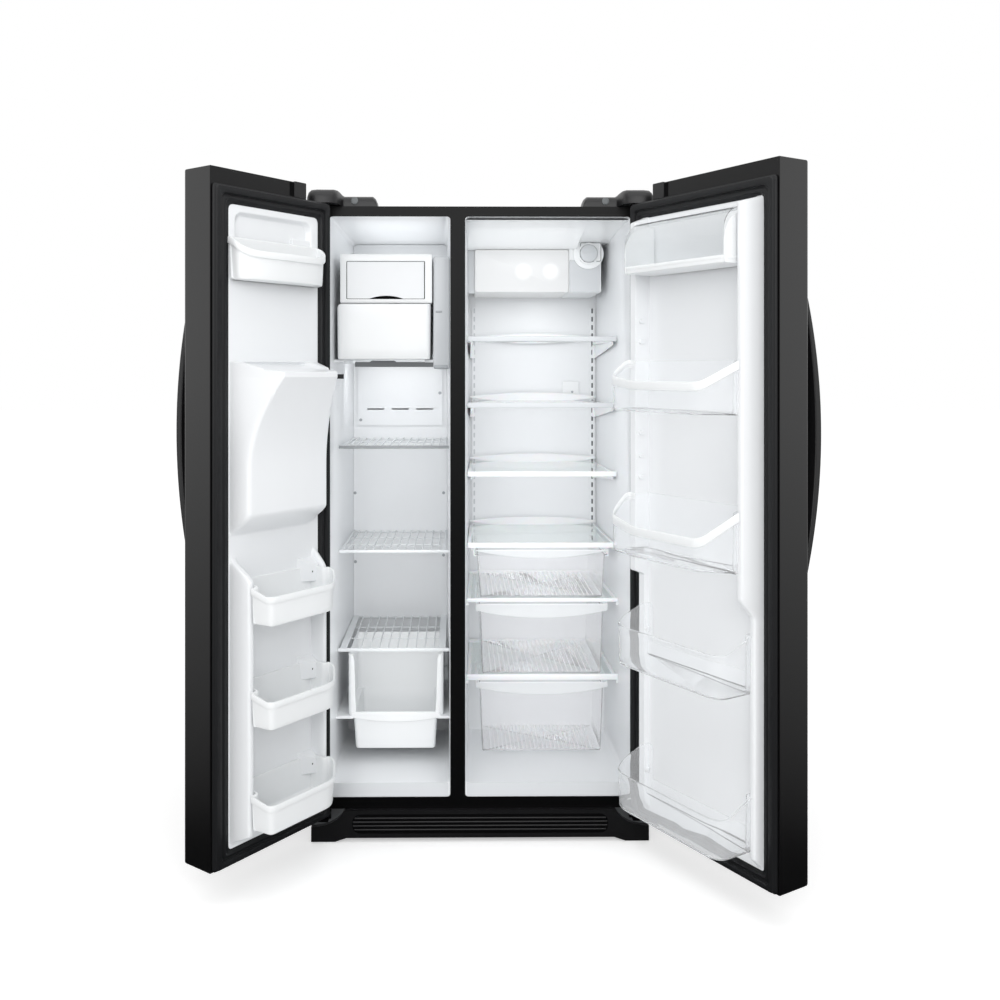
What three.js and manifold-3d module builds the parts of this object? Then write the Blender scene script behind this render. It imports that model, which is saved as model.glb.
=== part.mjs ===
// A side by side refrigerator: freezer on the left, fresh food on the right, both doors open.
// Millimetres, +Z up. The front faces -Y, the doors' hinges are at the two front edges.
// Pieces are written in the cabinet's own places: X = 0 in its middle, Y = 0 at its front face,
// Z = 0 at the floor. The last lines move the whole to the middle of its floor area.
import * as THREE from "three";
import { mergeVertices } from "three/addons/utils/BufferGeometryUtils.js";
import Module from "manifold-3d";

const wasm = await Module();
wasm.setup();

// Driving dimensions

const overrun = 5; // how far a cutting tool passes the face that it cuts
const weld = 1e-4; // vertices closer than this are one
const corner_steps = 3; // straight stretches in each rounded corner
const seat = 0.3; // gap between a piece and what it rests on
const play = 0.6; // gap around a piece that turns or slides in another
const round_sides = 16; // sides of the small round pieces
const rod_sides = 8; // sides of tubes and wires
const wheel_sides = 24;

const cabinet = { width: 908, depth: 700, top: 1704.8, skin: 1.2, bottom: 30 };
const half_width = cabinet.width / 2;

// The sizes at which the places below were measured.
const measured = {
  half: 454, depth: 700, floor: 148, ceiling: 1677.8,
  freezer_x: [-405.4, -80.5], fresh_x: [-40.5, 405.4], freezer_door: 396.3, fresh_door: 505,
};

// The steel face of the cabinet: a frame with an opening for each compartment.
const frame = {
  thick: 2.7, side: 48.6, head: 27, sill: 30, bottom: 86, mullion: 40, split: -60.5, corner: 8,
};
const opening_z = [frame.bottom + frame.sill, cabinet.top - frame.head];
const split_x = (frame.split * half_width) / measured.half;
const body_front = frame.thick + seat; // where the cabinet's body starts behind its face

// The moulded linings. A draft is how much narrower a side gets from the front to the back.
const liner = { wall: 3, corner: 12, sill_rise: 32, sill_run: 14, ceiling_drop: 6, rib: 6, rib_thick: 8 };
const floor_z = opening_z[0] + liner.sill_rise;
const freezer = {
  x: [-half_width + frame.side, split_x - frame.mullion / 2],
  depth: 637,
  draft: [8, 16],
};
const fresh = {
  x: [split_x + frame.mullion / 2, half_width - frame.side],
  depth: 600,
  draft: [17, 12],
};

// The space for the compressor, under and behind the linings.
const machine = { front: 430, roof: 300, cover_side: 24, slots: 8, slot: 9, slot_length: 260 };

const base = { deck: 46, thick: 3, skirt: 14, front_flange: 113 };
const foot = { across: 392, back: 62, radius: 20, disc: 9, stud: 6 };
const roller = { across: 396, back: 640, radius: 20, width: 18, axle: 4, ear: 3, ear_half: 13, ear_low: 9 };

const grille = {
  front: -12, top: frame.bottom - seat, bottom: 12, wing: 90, wing_top: 42, wing_low: 2,
  wing_foot: 64, wing_slope: 30,
  louvre: 5, louvre_half: 338, louvre_low: 24, louvre_pitch: 11.3, louvre_steps: [20, 4, 0, 2, 14],
};

const compressor = {
  x: -250, y: 560, radius: 92, low: 62, high: 238, dome: 34, plate: [230, 150, 3], mount: 9, neck: 60,
};
const condenser = { x: [90, 400], y: [470, 650], height: 170, plate: 2, tube: 4, rows: 3, columns: 4 };
const cooling_fan = {
  x: 10, y: 560, z: 145, radius: 74, hub: 17, width: 22, shaft: 3.2, blades: 5, blade: 2, pitch: 32,
};
const fan_motor = { radius: 24, length: 34, bracket: 4, bracket_half: 30 };
const evaporator = { y: [578, 630], height: 330, inset: 18, plate: 2, tube: 4, rows: 2, columns: 6 };
const air_fan = {
  z: 980, radius: 68, hub: 14, width: 18, shaft: 3.2, blades: 5, blade: 2, pitch: 30, motor: 18,
  motor_long: 14,
};

// The cover in front of the evaporator, with a raised field and three air slots.
const back_cover = {
  front: 566, thick: 3, raised: 6, field_z: [1086, 1275], field_inset: 14,
  slot: 8, slot_z: 1141, slot_length: 55, slot_gap: 24,
};

const ice = {
  x: [-386, -131.6], front: 80, wall: 2.5, cover_z: [1450, 1586],
  window_x: [-368.6, -151.5], window_z: [1461, 1566],
  bin_x: [-394.6, -135.9], bin_z: [1294, 1448], bin_y: [75, 430], bin_taper: 6, bin_radius: 12, bin_wall: 3,
  shelf_lip: 24,
};
const light_duct = { x: -128.5, front: 96, z: [1268, 1581], wall: 2.5 };

// Wire shelves of the freezer: z is the top of the wires.
const cross_shares = [1 / 3, 2 / 3]; // where the cross wires lie, from the front
const wire_shelf = { front: 193, wire: 4, wires: 12, trim: 8.6, trim_deep: 6, side: 9, z: [1047, 747] };
const basket_shelf = { front: 171, z: 470, trim: 10, trim_deep: 6, wires: 10, wire: 4, rail: 22 };
const basket = {
  y: [150, 405], wall: 3, top: 458, low: 190, wing_z: 286, wing: [-371, -101], body: [-356, -119],
  taper: 6, radius: 16, front_top: 296, front_post: 20,
};

// The lamp and filter housing under the fresh food ceiling.
const housing = { x: [-10, 377], front: 350, low: 1500, wall: 2.5 };
const filter = { x: 336.6, z: 1618, radius: 23, knob: 27, knob_long: 12, back: 560, grip: 7, grip_out: 6 };

// Glass shelves: z is the top of each front trim. Brackets hook on the two back tracks.
const track = { x: [-6, 380], width: 16, proud: 8, z: [700, 1470] };
const glass_shelf = {
  clear: 2, front: 200, back: 588, glass: 4, frame: 12, trim: 16, trim_deep: 12, side: 12,
  z: [1363, 1171, 972], bracket: 3, bracket_high: 44, bracket_low: 10,
};
const deli_shelf = { z: 766 };
const crisper_frame = { front: 190, back: 590, plate: 5, trim_deep: 12, z: [[596.5, 608], [372, 389]] };
const runner = { thick: 3, foot: 6, foot_thick: 3, start: 16 };

// Drawers of the fresh food side. Each hangs by its rim under the shelf above it.
const drawer = {
  wall: 2.5, rim: 7, rim_thick: 3, rim_drop: 18, lip_thick: 3, lip_drop: 4, taper: 8, radius: 14, lift: 1,
};
const drawer_front = { x: [-8, 370] };
const drawers = {
  deli_drawer: { x: [-4, 366], y: [193, 560], lip: 25 },
  crisper_upper: { x: [2, 360], y: [186, 560], lip: 39 },
  crisper_lower: { x: [2, 360], y: [186, 412], lip: 37 },
};
const lowest_drawer = 18; // how far the lowest drawer hangs above the floor

// Doors. In a door's own frame x runs from the hinge axis towards the handle, y runs into the
// cabinet and z up. The hinge axis stands in from the cabinet's side and in front of its face.
const door = {
  axis_in: 20, axis_out: 44, outer: -69, inner: 29, low: 88.4, rise: 38, skin: 1.2, corner: 10,
  rim: 20, notch: 66, notch_drop: 1.8, gap: 6.7, sheet: 2.5,
};
const door_z = [door.low, cabinet.top + door.rise];
const notch_floor = cabinet.top - door.notch_drop;
const freezer_door = { past_split: 2.8, angle: -127.17, handle_in: 21, liner_edge: 51 };
freezer_door.width = half_width + split_x + freezer_door.past_split;
const fresh_door = { angle: 120.89, handle_in: 11, liner_edge: 46 };
fresh_door.width = cabinet.width - freezer_door.width - door.gap;
const seal = {
  hinge: 28, low: 127, high: 1659, hinge_in: 8, outer_in: 4, outer_z: [90, 1702], base: 6.3,
  lip_width: 16, lip_in: 9, lip_edge: 3,
};
const handle = { width: 26, middle: 1115, reach: 345, bow: 55, thick: 20, foot: 44, steps: 12 };
const pin = { radius: 6, into: 12, collar: 12, post: 9 };

const top_hinge = {
  low_x: 277, tall_x: 377, side: 459, low_high: 32, tall_high: 41, front: -62, back: 70, low_front: 4,
  wall: 2.5, slope: 16,
};
const bottom_hinge = { across: 52, front: -64, plate: 6, leg: 24, leg_thick: 6, top: 84 };

// Raised forms of the door linings, as spans of x, depth and z.
const form_toe = 27; // how far the low end of a raised form slopes back
const freezer_forms = {
  handle_dyke: { x: [299, 321], y: 100, z: [131, 842], slope: 86 },
  hinge_dyke: { x: [33, 52], y: 75, z: [131, 790], slope: 50 },
};
const bulge = { depth: 100, nose_start: 62, nose_depth: 168 };
const bulge_rings = {
  back: { x: [31, 321], z: [868, 1284] },
  front: { x: [63, 319], z: [913, 1268] },
  nose_back: { x: [42, 319], z: [1105, 1284] },
  nose: { x: [94, 277], z: [1226, 1259] },
};
const fresh_forms = {
  handle_dyke: { x: [418, 437], y: 100, z: [740, 1496], slope: 40 },
  hinge_dyke: { x: [33, 55], y: 75, z: [815, 1496], slope: 40 },
  low_handle_dyke: { x: [418, 437], y: 60, z: [131, 739], slope: 20 },
  low_hinge_dyke: { x: [33, 52], y: 48, z: [131, 814], slope: 20 },
};

// Door bins: z is the underside, rim the heights at the back and at the front.
const bin = { wall: 2.5, taper: 3, clear: 0.4, reach: 168, top_reach: 104 };
const freezer_bins = {
  freezer_door_bin_1: { z: 1478, rim: [1581, 1546], plan: "top" },
  freezer_door_bin_2: { z: 670, rim: [760, 740], plan: "narrow" },
  freezer_door_bin_3: { z: 430, rim: [516, 497], plan: "narrow" },
  freezer_door_bin_4: { z: 188, rim: [274, 258], plan: "narrow" },
};
const fresh_bins = {
  fresh_door_bin_1: { z: 1162, rim: [1292, 1233], plan: "upper" },
  fresh_door_bin_2: { z: 806, rim: [950, 877], plan: "upper" },
  fresh_door_bin_3: { z: 530, rim: [664, 629], plan: "lower" },
  fresh_door_bin_4: { z: 173, rim: [300, 264], plan: "lower" },
};
// Each bin's front seen from above: shares of its width from the hinge side, and of its reach.
const front_shares = {
  top: [[0, 0.63], [0.12, 0.87], [0.35, 0.98], [0.65, 1], [0.88, 0.91], [1, 0.67]],
  narrow: [[0.03, 0.6], [0.28, 1], [0.98, 1]],
  upper: [[0, 0.47], [0, 0.87], [0.29, 1], [0.78, 1], [0.93, 0.87]],
  lower: [[0, 0.72], [0.05, 0.91], [0.14, 1], [0.93, 1], [1, 0.9]],
};

const dairy = {
  x: [72, 432], depth: 130, z: [1505, 1523], top: 1636, wall: 2.5, lid: 2.5, round: 56, pivot: 48,
  steps: 6, cheek_out: 102, cheek_drop: 19,
};

const dispenser = {
  x: [95, 265], z: [905, 1235], depth: 84, wall: 2.5, bezel: 9, bezel_thick: 3, panel_top: 1330,
  ear: 6, ear_half: 8, ear_drop: 44, paddle_x: [152, 208], paddle: 3, paddle_long: 158, axle: 4, axle_y: -28,
};

// Places that follow the driving sizes

// A place keeps its share of the room between two ends.
const follow = (from, to) => function fit(place) {
  if (Array.isArray(place)) return place.map(fit);
  return to[0] + ((place - from[0]) * (to[1] - to[0])) / (from[1] - from[0]);
};
const high = follow([measured.floor, measured.ceiling], [floor_z, opening_z[1]]);
const deep = follow([0, measured.depth], [0, cabinet.depth]);
const across = follow([-measured.half, measured.half], [-half_width, half_width]);
const in_freezer = follow(measured.freezer_x, freezer.x);
const in_fresh = follow(measured.fresh_x, fresh.x);
const inside_seal = (leaf, width) => [seal.hinge, width - leaf.liner_edge];
const on_door = (leaf, width) => follow(inside_seal(leaf, width), inside_seal(leaf, leaf.width));
const on_freezer_door = on_door(freezer_door, measured.freezer_door);
const on_fresh_door = on_door(fresh_door, measured.fresh_door);

const places = [
  [across, foot, "across"], [across, roller, "across"], [across, grille, "louvre_half"],
  [across, compressor, "x"], [across, condenser, "x"], [across, cooling_fan, "x"],
  [across, top_hinge, "low_x", "tall_x", "side"],
  [
    in_freezer,
    ice,
    "x",
    "window_x",
    "bin_x",
  ], [in_freezer, light_duct, "x"], [in_freezer, basket, "wing", "body"],
  [in_fresh, housing, "x"], [in_fresh, filter, "x"], [in_fresh, track, "x"], [in_fresh, drawer_front, "x"],
  ...Object.values(drawers).flatMap((part) => [[in_fresh, part, "x"], [deep, part, "y"]]),
  [deep, freezer, "depth"], [deep, fresh, "depth"], [deep, machine, "front"], [deep, foot, "back"],
  [deep, roller, "back"], [deep, compressor, "y"], [deep, condenser, "y"], [deep, cooling_fan, "y"],
  [deep, evaporator, "y"], [deep, back_cover, "front"], [deep, ice, "front", "bin_y"],
  [deep, light_duct, "front"], [deep, wire_shelf, "front"], [deep, basket_shelf, "front"],
  [deep, basket, "y"],
  [deep, housing, "front"], [deep, filter, "back"], [deep, glass_shelf, "front", "back"],
  [deep, crisper_frame, "front", "back"],
  [high, air_fan, "z"], [high, back_cover, "field_z", "slot_z"], [high, ice, "cover_z", "window_z", "bin_z"],
  [high, light_duct, "z"], [high, wire_shelf, "z"], [high, basket_shelf, "z"],
  [high, basket, "top", "low", "wing_z", "front_top"], [high, housing, "low"], [high, filter, "z"],
  [high, track, "z"], [high, glass_shelf, "z"], [high, deli_shelf, "z"], [high, crisper_frame, "z"],
  [high, seal, "low", "high", "outer_z"], [high, handle, "middle"],
  ...[freezer_forms, fresh_forms, bulge_rings].flatMap(
    (made) => Object.values(made).map((part) => [high, part, "z"]),
  ),
  ...[freezer_forms, bulge_rings].flatMap(
    (made) => Object.values(made).map((part) => [on_freezer_door, part, "x"]),
  ),
  ...Object.values(fresh_forms).map((part) => [on_fresh_door, part, "x"]),
  ...[freezer_bins, fresh_bins].flatMap(
    (made) => Object.values(made).map((part) => [high, part, "z", "rim"]),
  ),
  [high, dairy, "z", "top"], [on_fresh_door, dairy, "x"],
  [high, dispenser, "z", "panel_top"], [on_freezer_door, dispenser, "x", "paddle_x"],
];
for (const [fit, part, ...keys] of places) {
  for (const key of keys) part[key] = fit(part[key]);
}
// Each drawer has the room between the shelf under it and the shelf that it hangs from.
drawers.deli_drawer.room = [crisper_frame.z[0][1], deli_shelf.z - glass_shelf.trim];
drawers.crisper_upper.room = [crisper_frame.z[1][1], crisper_frame.z[0][0]];
drawers.crisper_lower.room = [floor_z + lowest_drawer, crisper_frame.z[1][0]];

// Materials

const finish = (color, roughness, metalness, extra = {}) =>
  new THREE.MeshStandardMaterial({ color, roughness, metalness, ...extra });
const black_enamel = finish(0x2b2c2e, 0.4, 0.0);
const galvanised = finish(0x9a9da0, 0.45, 0.9);
const white_plastic = finish(0xf0f1f3, 0.35, 0.0);
const clear_plastic = finish(0xe6eaec, 0.12, 0.0, { transparent: true, opacity: 0.45 });
const shelf_glass = finish(0xdfe8e8, 0.08, 0.0, { transparent: true, opacity: 0.6 });
const black_plastic = finish(0x1c1d1f, 0.5, 0.0);
const grey_plastic = finish(0xb9bdc0, 0.4, 0.0);
const seal_rubber = finish(0x343536, 0.6, 0.0);
const coated_wire = finish(0xdcdfe1, 0.4, 0.0);
const copper = finish(0xb87333, 0.35, 1.0);
const motor_black = finish(0x26272a, 0.5, 0.4);

// Solids: small helpers around the geometry classes

// Positions only, with the faces turned outwards.
function outward(geometry) {
  const bare = geometry.index ? geometry.toNonIndexed() : geometry.clone();
  for (const name of Object.keys(bare.attributes)) {
    if (name !== "position") bare.deleteAttribute(name);
  }
  const p = bare.attributes.position;
  const [a, b, c] = [new THREE.Vector3(), new THREE.Vector3(), new THREE.Vector3()];
  let volume = 0;
  for (let i = 0; i < p.count; i += 3) {
    a.fromBufferAttribute(p, i);
    b.fromBufferAttribute(p, i + 1);
    c.fromBufferAttribute(p, i + 2);
    volume += a.dot(b.cross(c));
  }
  if (volume < 0) {
    for (let i = 0; i < p.count; i += 3) {
      b.fromBufferAttribute(p, i + 1);
      c.fromBufferAttribute(p, i + 2);
      p.setXYZ(i + 1, c.x, c.y, c.z);
      p.setXYZ(i + 2, b.x, b.y, b.z);
    }
  }
  return bare;
}

function solid(geometry) {
  const merged = mergeVertices(outward(geometry), weld);
  return new wasm.Manifold(
    new wasm.Mesh({
      numProp: 3,
      vertProperties: new Float32Array(merged.attributes.position.array),
      triVerts: new Uint32Array(merged.index.array),
    }),
  );
}

const join = (...solids) => solids.reduce((whole, next) => whole.add(next));
const cut = (whole, ...tools) => tools.reduce((rest, tool) => rest.subtract(tool), whole);

function geometryOf(made) {
  const mesh = made.getMesh();
  const geometry = new THREE.BufferGeometry();
  geometry.setAttribute("position", new THREE.BufferAttribute(new Float32Array(mesh.vertProperties), 3));
  geometry.setIndex(new THREE.BufferAttribute(new Uint32Array(mesh.triVerts), 1));
  return geometry;
}

const middle = ([low, high]) => (low + high) / 2;
const grow = ([low, high], by) => [low - by, high + by];

// A box from its three spans.
function block(x, y, z) {
  const box = new THREE.BoxGeometry(x[1] - x[0], y[1] - y[0], z[1] - z[0]);
  box.translate(middle(x), middle(y), middle(z));
  return solid(box);
}

// A closed body through rings of equal point count, each ring a list of [x, y, z].
function loft(rings) {
  const points = rings.flat();
  const count = rings[0].length;
  const faces = [];
  for (let r = 0; r + 1 < rings.length; r++) {
    for (let i = 0; i < count; i++) {
      const [a, b] = [r * count + i, r * count + ((i + 1) % count)];
      faces.push(a, b, b + count, a, b + count, a + count);
    }
  }
  const cap = (ring, first, flip) => {
    const normal = new THREE.Vector3();
    ring.forEach((p, i) => {
      const q = ring[(i + 1) % count];
      normal.x += (p[1] - q[1]) * (p[2] + q[2]);
      normal.y += (p[2] - q[2]) * (p[0] + q[0]);
      normal.z += (p[0] - q[0]) * (p[1] + q[1]);
    });
    const size = [Math.abs(normal.x), Math.abs(normal.y), Math.abs(normal.z)];
    const drop = size.indexOf(Math.max(...size));
    const flat = ring.map((p) => new THREE.Vector2(p[(drop + 1) % 3], p[(drop + 2) % 3]));
    const forward = THREE.ShapeUtils.area(flat) > 0;
    const order = forward ? flat : [...flat].reverse();
    for (const [a, b, c] of THREE.ShapeUtils.triangulateShape(order, [])) {
      const back = (i) => first + (forward ? i : count - 1 - i);
      const turned = forward !== flip;
      faces.push(back(a), turned ? back(b) : back(c), turned ? back(c) : back(b));
    }
  };
  cap(rings[0], 0, true);
  cap(rings[rings.length - 1], points.length - count, false);
  const geometry = new THREE.BufferGeometry();
  geometry.setAttribute("position", new THREE.Float32BufferAttribute(points.flat(), 3));
  geometry.setIndex(faces);
  return solid(geometry);
}

// A rectangle with rounded corners as a list of [a, b].
function ring(a, b, radius) {
  const points = [];
  const centres = [
    [a[1] - radius, b[1] - radius],
    [a[0] + radius, b[1] - radius],
    [a[0] + radius, b[0] + radius],
    [a[1] - radius, b[0] + radius],
  ];
  centres.forEach(([ca, cb], quarter) => {
    for (let step = 0; step <= corner_steps; step++) {
      const angle = ((quarter + step / corner_steps) * Math.PI) / 2;
      points.push([ca + radius * Math.cos(angle), cb + radius * Math.sin(angle)]);
    }
  });
  return points;
}

const upright = (points, y) => points.map(([x, z]) => [x, y, z]);
const level = (points, z) => points.map(([x, y]) => [x, y, typeof z === "function" ? z(y) : z]);
const sideways = (points, x) => points.map(([y, z]) => [x, y, z]);

// A flat outline carried along one axis.
const standing = (outline, z) => loft([level(outline, z[0]), level(outline, z[1])]);
const along_x = (outline, x) => loft([sideways(outline, x[0]), sideways(outline, x[1])]);
const along_y = (outline, y) => loft([upright(outline, y[0]), upright(outline, y[1])]);

// The outline moved inwards on every side.
function inset(outline, by) {
  const flat = outline.map(([x, y]) => new THREE.Vector2(x, y));
  const side = THREE.ShapeUtils.area(flat) > 0 ? 1 : -1;
  const lines = flat.map((p, i) => {
    const along = flat[(i + 1) % flat.length].clone().sub(p).normalize();
    const inward = new THREE.Vector2(-along.y, along.x).multiplyScalar(side * by);
    return { start: p.clone().add(inward), along };
  });
  return lines.map((line, i) => {
    const last = lines[(i + lines.length - 1) % lines.length];
    const gap = line.start.clone().sub(last.start);
    const cross = last.along.cross(line.along);
    const reach = gap.cross(line.along) / cross;
    const p = last.start.clone().add(last.along.clone().multiplyScalar(reach));
    return [p.x, p.y];
  });
}

// A round bar between two points.
function rod(from, to, radius, sides = rod_sides) {
  const [a, b] = [new THREE.Vector3(...from), new THREE.Vector3(...to)];
  const along = b.clone().sub(a);
  const bar = new THREE.CylinderGeometry(radius, radius, along.length(), sides);
  const turn = new THREE.Quaternion().setFromUnitVectors(new THREE.Vector3(0, 1, 0), along.normalize());
  bar.applyQuaternion(turn);
  const centre = a.add(b).multiplyScalar(0.5);
  bar.translate(centre.x, centre.y, centre.z);
  return solid(bar);
}

// A turned body: profile is a list of [radius, height] that starts and ends on the axis.
function turned(profile, axis, centre, sides = round_sides) {
  const body = new THREE.LatheGeometry(profile.map(([r, h]) => new THREE.Vector2(r, h)), sides);
  const turn = new THREE.Quaternion().setFromUnitVectors(
    new THREE.Vector3(0, 1, 0),
    new THREE.Vector3(...axis),
  );
  body.applyQuaternion(turn);
  body.translate(...centre);
  return solid(body);
}

// An open box: outline seen from above, closed below, its rim at a height that may slope with y.
function tub(outline, low, rim, wall, taper = 0) {
  const top = typeof rim === "function" ? rim : () => rim;
  const above = (y) => top(y) + overrun;
  const outer = loft([level(inset(outline, taper), low), level(outline, top)]);
  const inner = loft([level(inset(outline, taper + wall), low + wall), level(inset(outline, wall), above)]);
  return cut(outer, inner);
}

// A height that changes evenly between two places.
const slope = (y, z) => (at) => z[0] + ((at - y[0]) / (y[1] - y[0])) * (z[1] - z[0]);

const rectangle = (x, y) => [[x[0], y[0]], [x[1], y[0]], [x[1], y[1]], [x[0], y[1]]];

// The tree of named pieces

const refrigerator = new THREE.Group();
const freezer_leaf = new THREE.Group();
const fresh_leaf = new THREE.Group();
refrigerator.add(freezer_leaf, fresh_leaf);

function piece(name, made, material, parent = refrigerator) {
  const mesh = new THREE.Mesh(geometryOf(made), material);
  mesh.name = name;
  parent.add(mesh);
  return mesh;
}

// Cabinet

function cabinetWrapper() {
  const { skin, depth, top, bottom } = cabinet;
  const x = [-half_width, half_width];
  const outer = block(x, [body_front, depth], [bottom, top]);
  const inner = block(grow(x, -skin), [body_front - overrun, depth - skin], [bottom - overrun, top - skin]);
  const rear = block(
    grow(x, -machine.cover_side),
    [depth - skin - overrun, depth + overrun],
    [bottom - overrun, machine.roof],
  );
  return cut(outer, inner, rear);
}
piece("cabinet_wrapper", cabinetWrapper(), black_enamel);

function frontFrame() {
  const face = block([-half_width, half_width], [0, frame.thick], [frame.bottom, cabinet.top]);
  const holes = [freezer, fresh].map((room) =>
    along_y(ring(room.x, opening_z, frame.corner), [-overrun, frame.thick + overrun]),
  );
  return cut(face, ...holes);
}
piece("front_frame", frontFrame(), black_enamel);

// Where the two side walls of a compartment are at a depth.
const walls = (room, y) => {
  const share = (y - body_front) / (room.depth - body_front);
  return [room.x[0] + room.draft[0] * share, room.x[1] - room.draft[1] * share];
};

// The lining's surface moved outwards by a wall, as rings from the front to the back.
function liningRings(room, wall) {
  const at = (y, low, drop) =>
    upright(
      ring(grow(walls(room, y), wall), [low - wall, opening_z[1] - drop + wall], liner.corner + wall),
      y,
    );
  const mouth = at(body_front, opening_z[0], 0);
  const rings = [
    mouth,
    at(body_front + liner.sill_run, floor_z, 0),
    upright(
      ring(
        grow(walls(room, room.depth), wall),
        [floor_z - wall, opening_z[1] - liner.ceiling_drop + wall],
        liner.corner + wall,
      ),
      room.depth + wall,
    ),
  ];
  return wall ? rings : [mouth.map(([x, y, z]) => [x, y - overrun, z]), ...rings];
}

function lining(room, ribs) {
  const wide = grow(room.x, overrun + liner.wall);
  const behind = [machine.front, room.depth + liner.wall + overrun];
  const outer = cut(loft(liningRings(room, liner.wall)), block(wide, behind, [0, machine.roof]));
  const kept = block(wide, [machine.front - liner.wall, behind[1]], [0, machine.roof + liner.wall]);
  const hollow = cut(loft(liningRings(room, 0)), kept, ...ribs);
  return cut(outer, hollow);
}

// A rib along a side wall that carries a shelf, a bin or a basket on its top: side 0 is the left.
function wallRib(room, side, top, y, reach) {
  const out = side ? 1 : -1;
  const near = walls(room, y[0])[side];
  const far = walls(room, y[1])[side];
  const root = (out * liner.wall) / 2;
  const plan = [
    [near + root, y[0]],
    [far + root, y[1]],
    [reach ?? far - out * liner.rib, y[1]],
    [reach ?? near - out * liner.rib, y[0]],
  ];
  return standing(plan, [top - liner.rib_thick, top]);
}

const basket_rail_y = [basket.y[0] - overrun, machine.front - liner.wall - seat];
const basket_reach = [basket.body[0] - play, basket.body[1] + play];
const ice_ledge_top = ice.bin_z[0] - seat;
const ice_ledge_y = [ice.bin_y[0] + ice.shelf_lip, ice.bin_y[1] - ice.shelf_lip];
piece(
  "freezer_liner",
  lining(freezer, [
    ...basket_reach.map((reach, side) => wallRib(freezer, side, basket.wing_z, basket_rail_y, reach)),
    wallRib(freezer, 0, ice_ledge_top, ice_ledge_y, ice.bin_x[0] + ice.bin_taper + ice.shelf_lip / 2),
  ]),
  white_plastic,
);

// Two upright ribs on the back wall that take the shelf brackets.
const trackRibs = track.x.map((x) =>
  block(grow([x, x], track.width / 2), [fresh.depth - track.proud, fresh.depth + liner.wall / 2], track.z),
);
const frame_y = [crisper_frame.front, crisper_frame.back];
piece(
  "fresh_food_liner",
  lining(fresh, [
    ...trackRibs,
    ...crisper_frame.z.flatMap(([low]) => [0, 1].map((side) => wallRib(fresh, side, low - seat, frame_y))),
  ]),
  white_plastic,
);

// Base and running gear

const deck_top = base.deck + base.thick;
const inner_half = half_width - cabinet.skin - seat;

function fanBracket() {
  const face = cooling_fan.x + cooling_fan.width / 2 + play + fan_motor.length;
  const plate = block(
    [face, face + fan_motor.bracket],
    grow([cooling_fan.y, cooling_fan.y], fan_motor.bracket_half),
    [base.deck, cooling_fan.z + fan_motor.radius],
  );
  const at = (x) => [x, cooling_fan.y, cooling_fan.z];
  const motor = rod(
    at(face - fan_motor.length),
    at(face + fan_motor.bracket),
    fan_motor.radius,
    round_sides,
  );
  const shaft = rod(at(cooling_fan.x - cooling_fan.width / 2), at(face), cooling_fan.shaft, round_sides);
  return join(plate, motor, shaft);
}

function basePan() {
  const x = [-inner_half, inner_half];
  const y = [body_front, cabinet.depth - cabinet.skin - seat];
  const deck = block(x, y, [base.deck, deck_top]);
  const front = block(x, [y[0], y[0] + base.thick], [cabinet.bottom, base.front_flange]);
  const skirts = [-1, 1].map((side) => {
    const edge = side * inner_half;
    const band = [edge, edge - side * base.thick].sort((a, b) => a - b);
    return block(band, y, [base.deck - base.skirt, deck_top]);
  });
  const ears = [-1, 1].flatMap((side) =>
    [-1, 1].map((hand) => {
      const near = side * roller.across + hand * (roller.width / 2 + play);
      const band = [near, near + hand * roller.ear].sort((a, b) => a - b);
      const ear = block(band, grow([roller.back, roller.back], roller.ear_half), [roller.ear_low, deck_top]);
      const hole = rod(
        [band[0] - overrun, roller.back, roller.radius],
        [band[1] + overrun, roller.back, roller.radius],
        roller.axle + seat,
        round_sides,
      );
      return cut(ear, hole);
    }),
  );
  return join(deck, front, ...skirts, ...ears, fanBracket());
}
piece("base_pan", basePan(), galvanised);

for (const [name, side] of [["front_foot_left", -1], ["front_foot_right", 1]]) {
  const { radius, disc, stud } = foot;
  const top = base.deck - seat;
  const profile = [[0, 0], [radius, 0], [radius, disc], [stud, disc + stud / 2], [stud, top], [0, top]];
  piece(
    name,
    turned(profile, [0, 1, 0], [0, 0, 0]).rotate([90, 0, 0]).translate([side * foot.across, foot.back, 0]),
    black_plastic,
  );
}

for (const [name, side] of [["rear_roller_left", -1], ["rear_roller_right", 1]]) {
  const half = roller.width / 2;
  const end = half + play + roller.ear + play;
  const profile = [
    [0, -end], [roller.axle, -end], [roller.axle, -half], [roller.radius, -half],
    [roller.radius, half], [roller.axle, half], [roller.axle, end], [0, end],
  ];
  piece(
    name,
    turned(profile, [1, 0, 0], [side * roller.across, roller.back, roller.radius], wheel_sides),
    black_plastic,
  );
}

function toeGrille() {
  const edge = half_width - cabinet.skin;
  const scoop = (side) => {
    const curve = new THREE.QuadraticBezierCurve(
      new THREE.Vector2(edge, grille.wing_top),
      new THREE.Vector2(edge - grille.wing_foot, grille.wing_top),
      new THREE.Vector2(edge - grille.wing, grille.top),
    );
    return curve.getPoints(2 * corner_steps).map((p) => [side * p.x, p.y]);
  };
  const foot_line = (side) => [
    [side * edge, grille.wing_low],
    [side * (edge - grille.wing_foot), grille.wing_low],
    [side * (edge - grille.wing_foot - grille.wing_slope), grille.bottom],
  ];
  const outline = [...foot_line(-1).reverse(), ...scoop(-1), ...scoop(1).reverse(), ...foot_line(1)];
  const plate = along_y(outline, [grille.front, frame.thick]);
  const louvres = grille.louvre_steps.map((shorter, i) => {
    const low = grille.louvre_low + i * grille.louvre_pitch;
    const half = grille.louvre_half - shorter;
    return block([-half, half], [grille.front - overrun, frame.thick + overrun], [low, low + grille.louvre]);
  });
  return cut(plate, ...louvres);
}
piece("toe_grille", toeGrille(), black_plastic);

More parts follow.
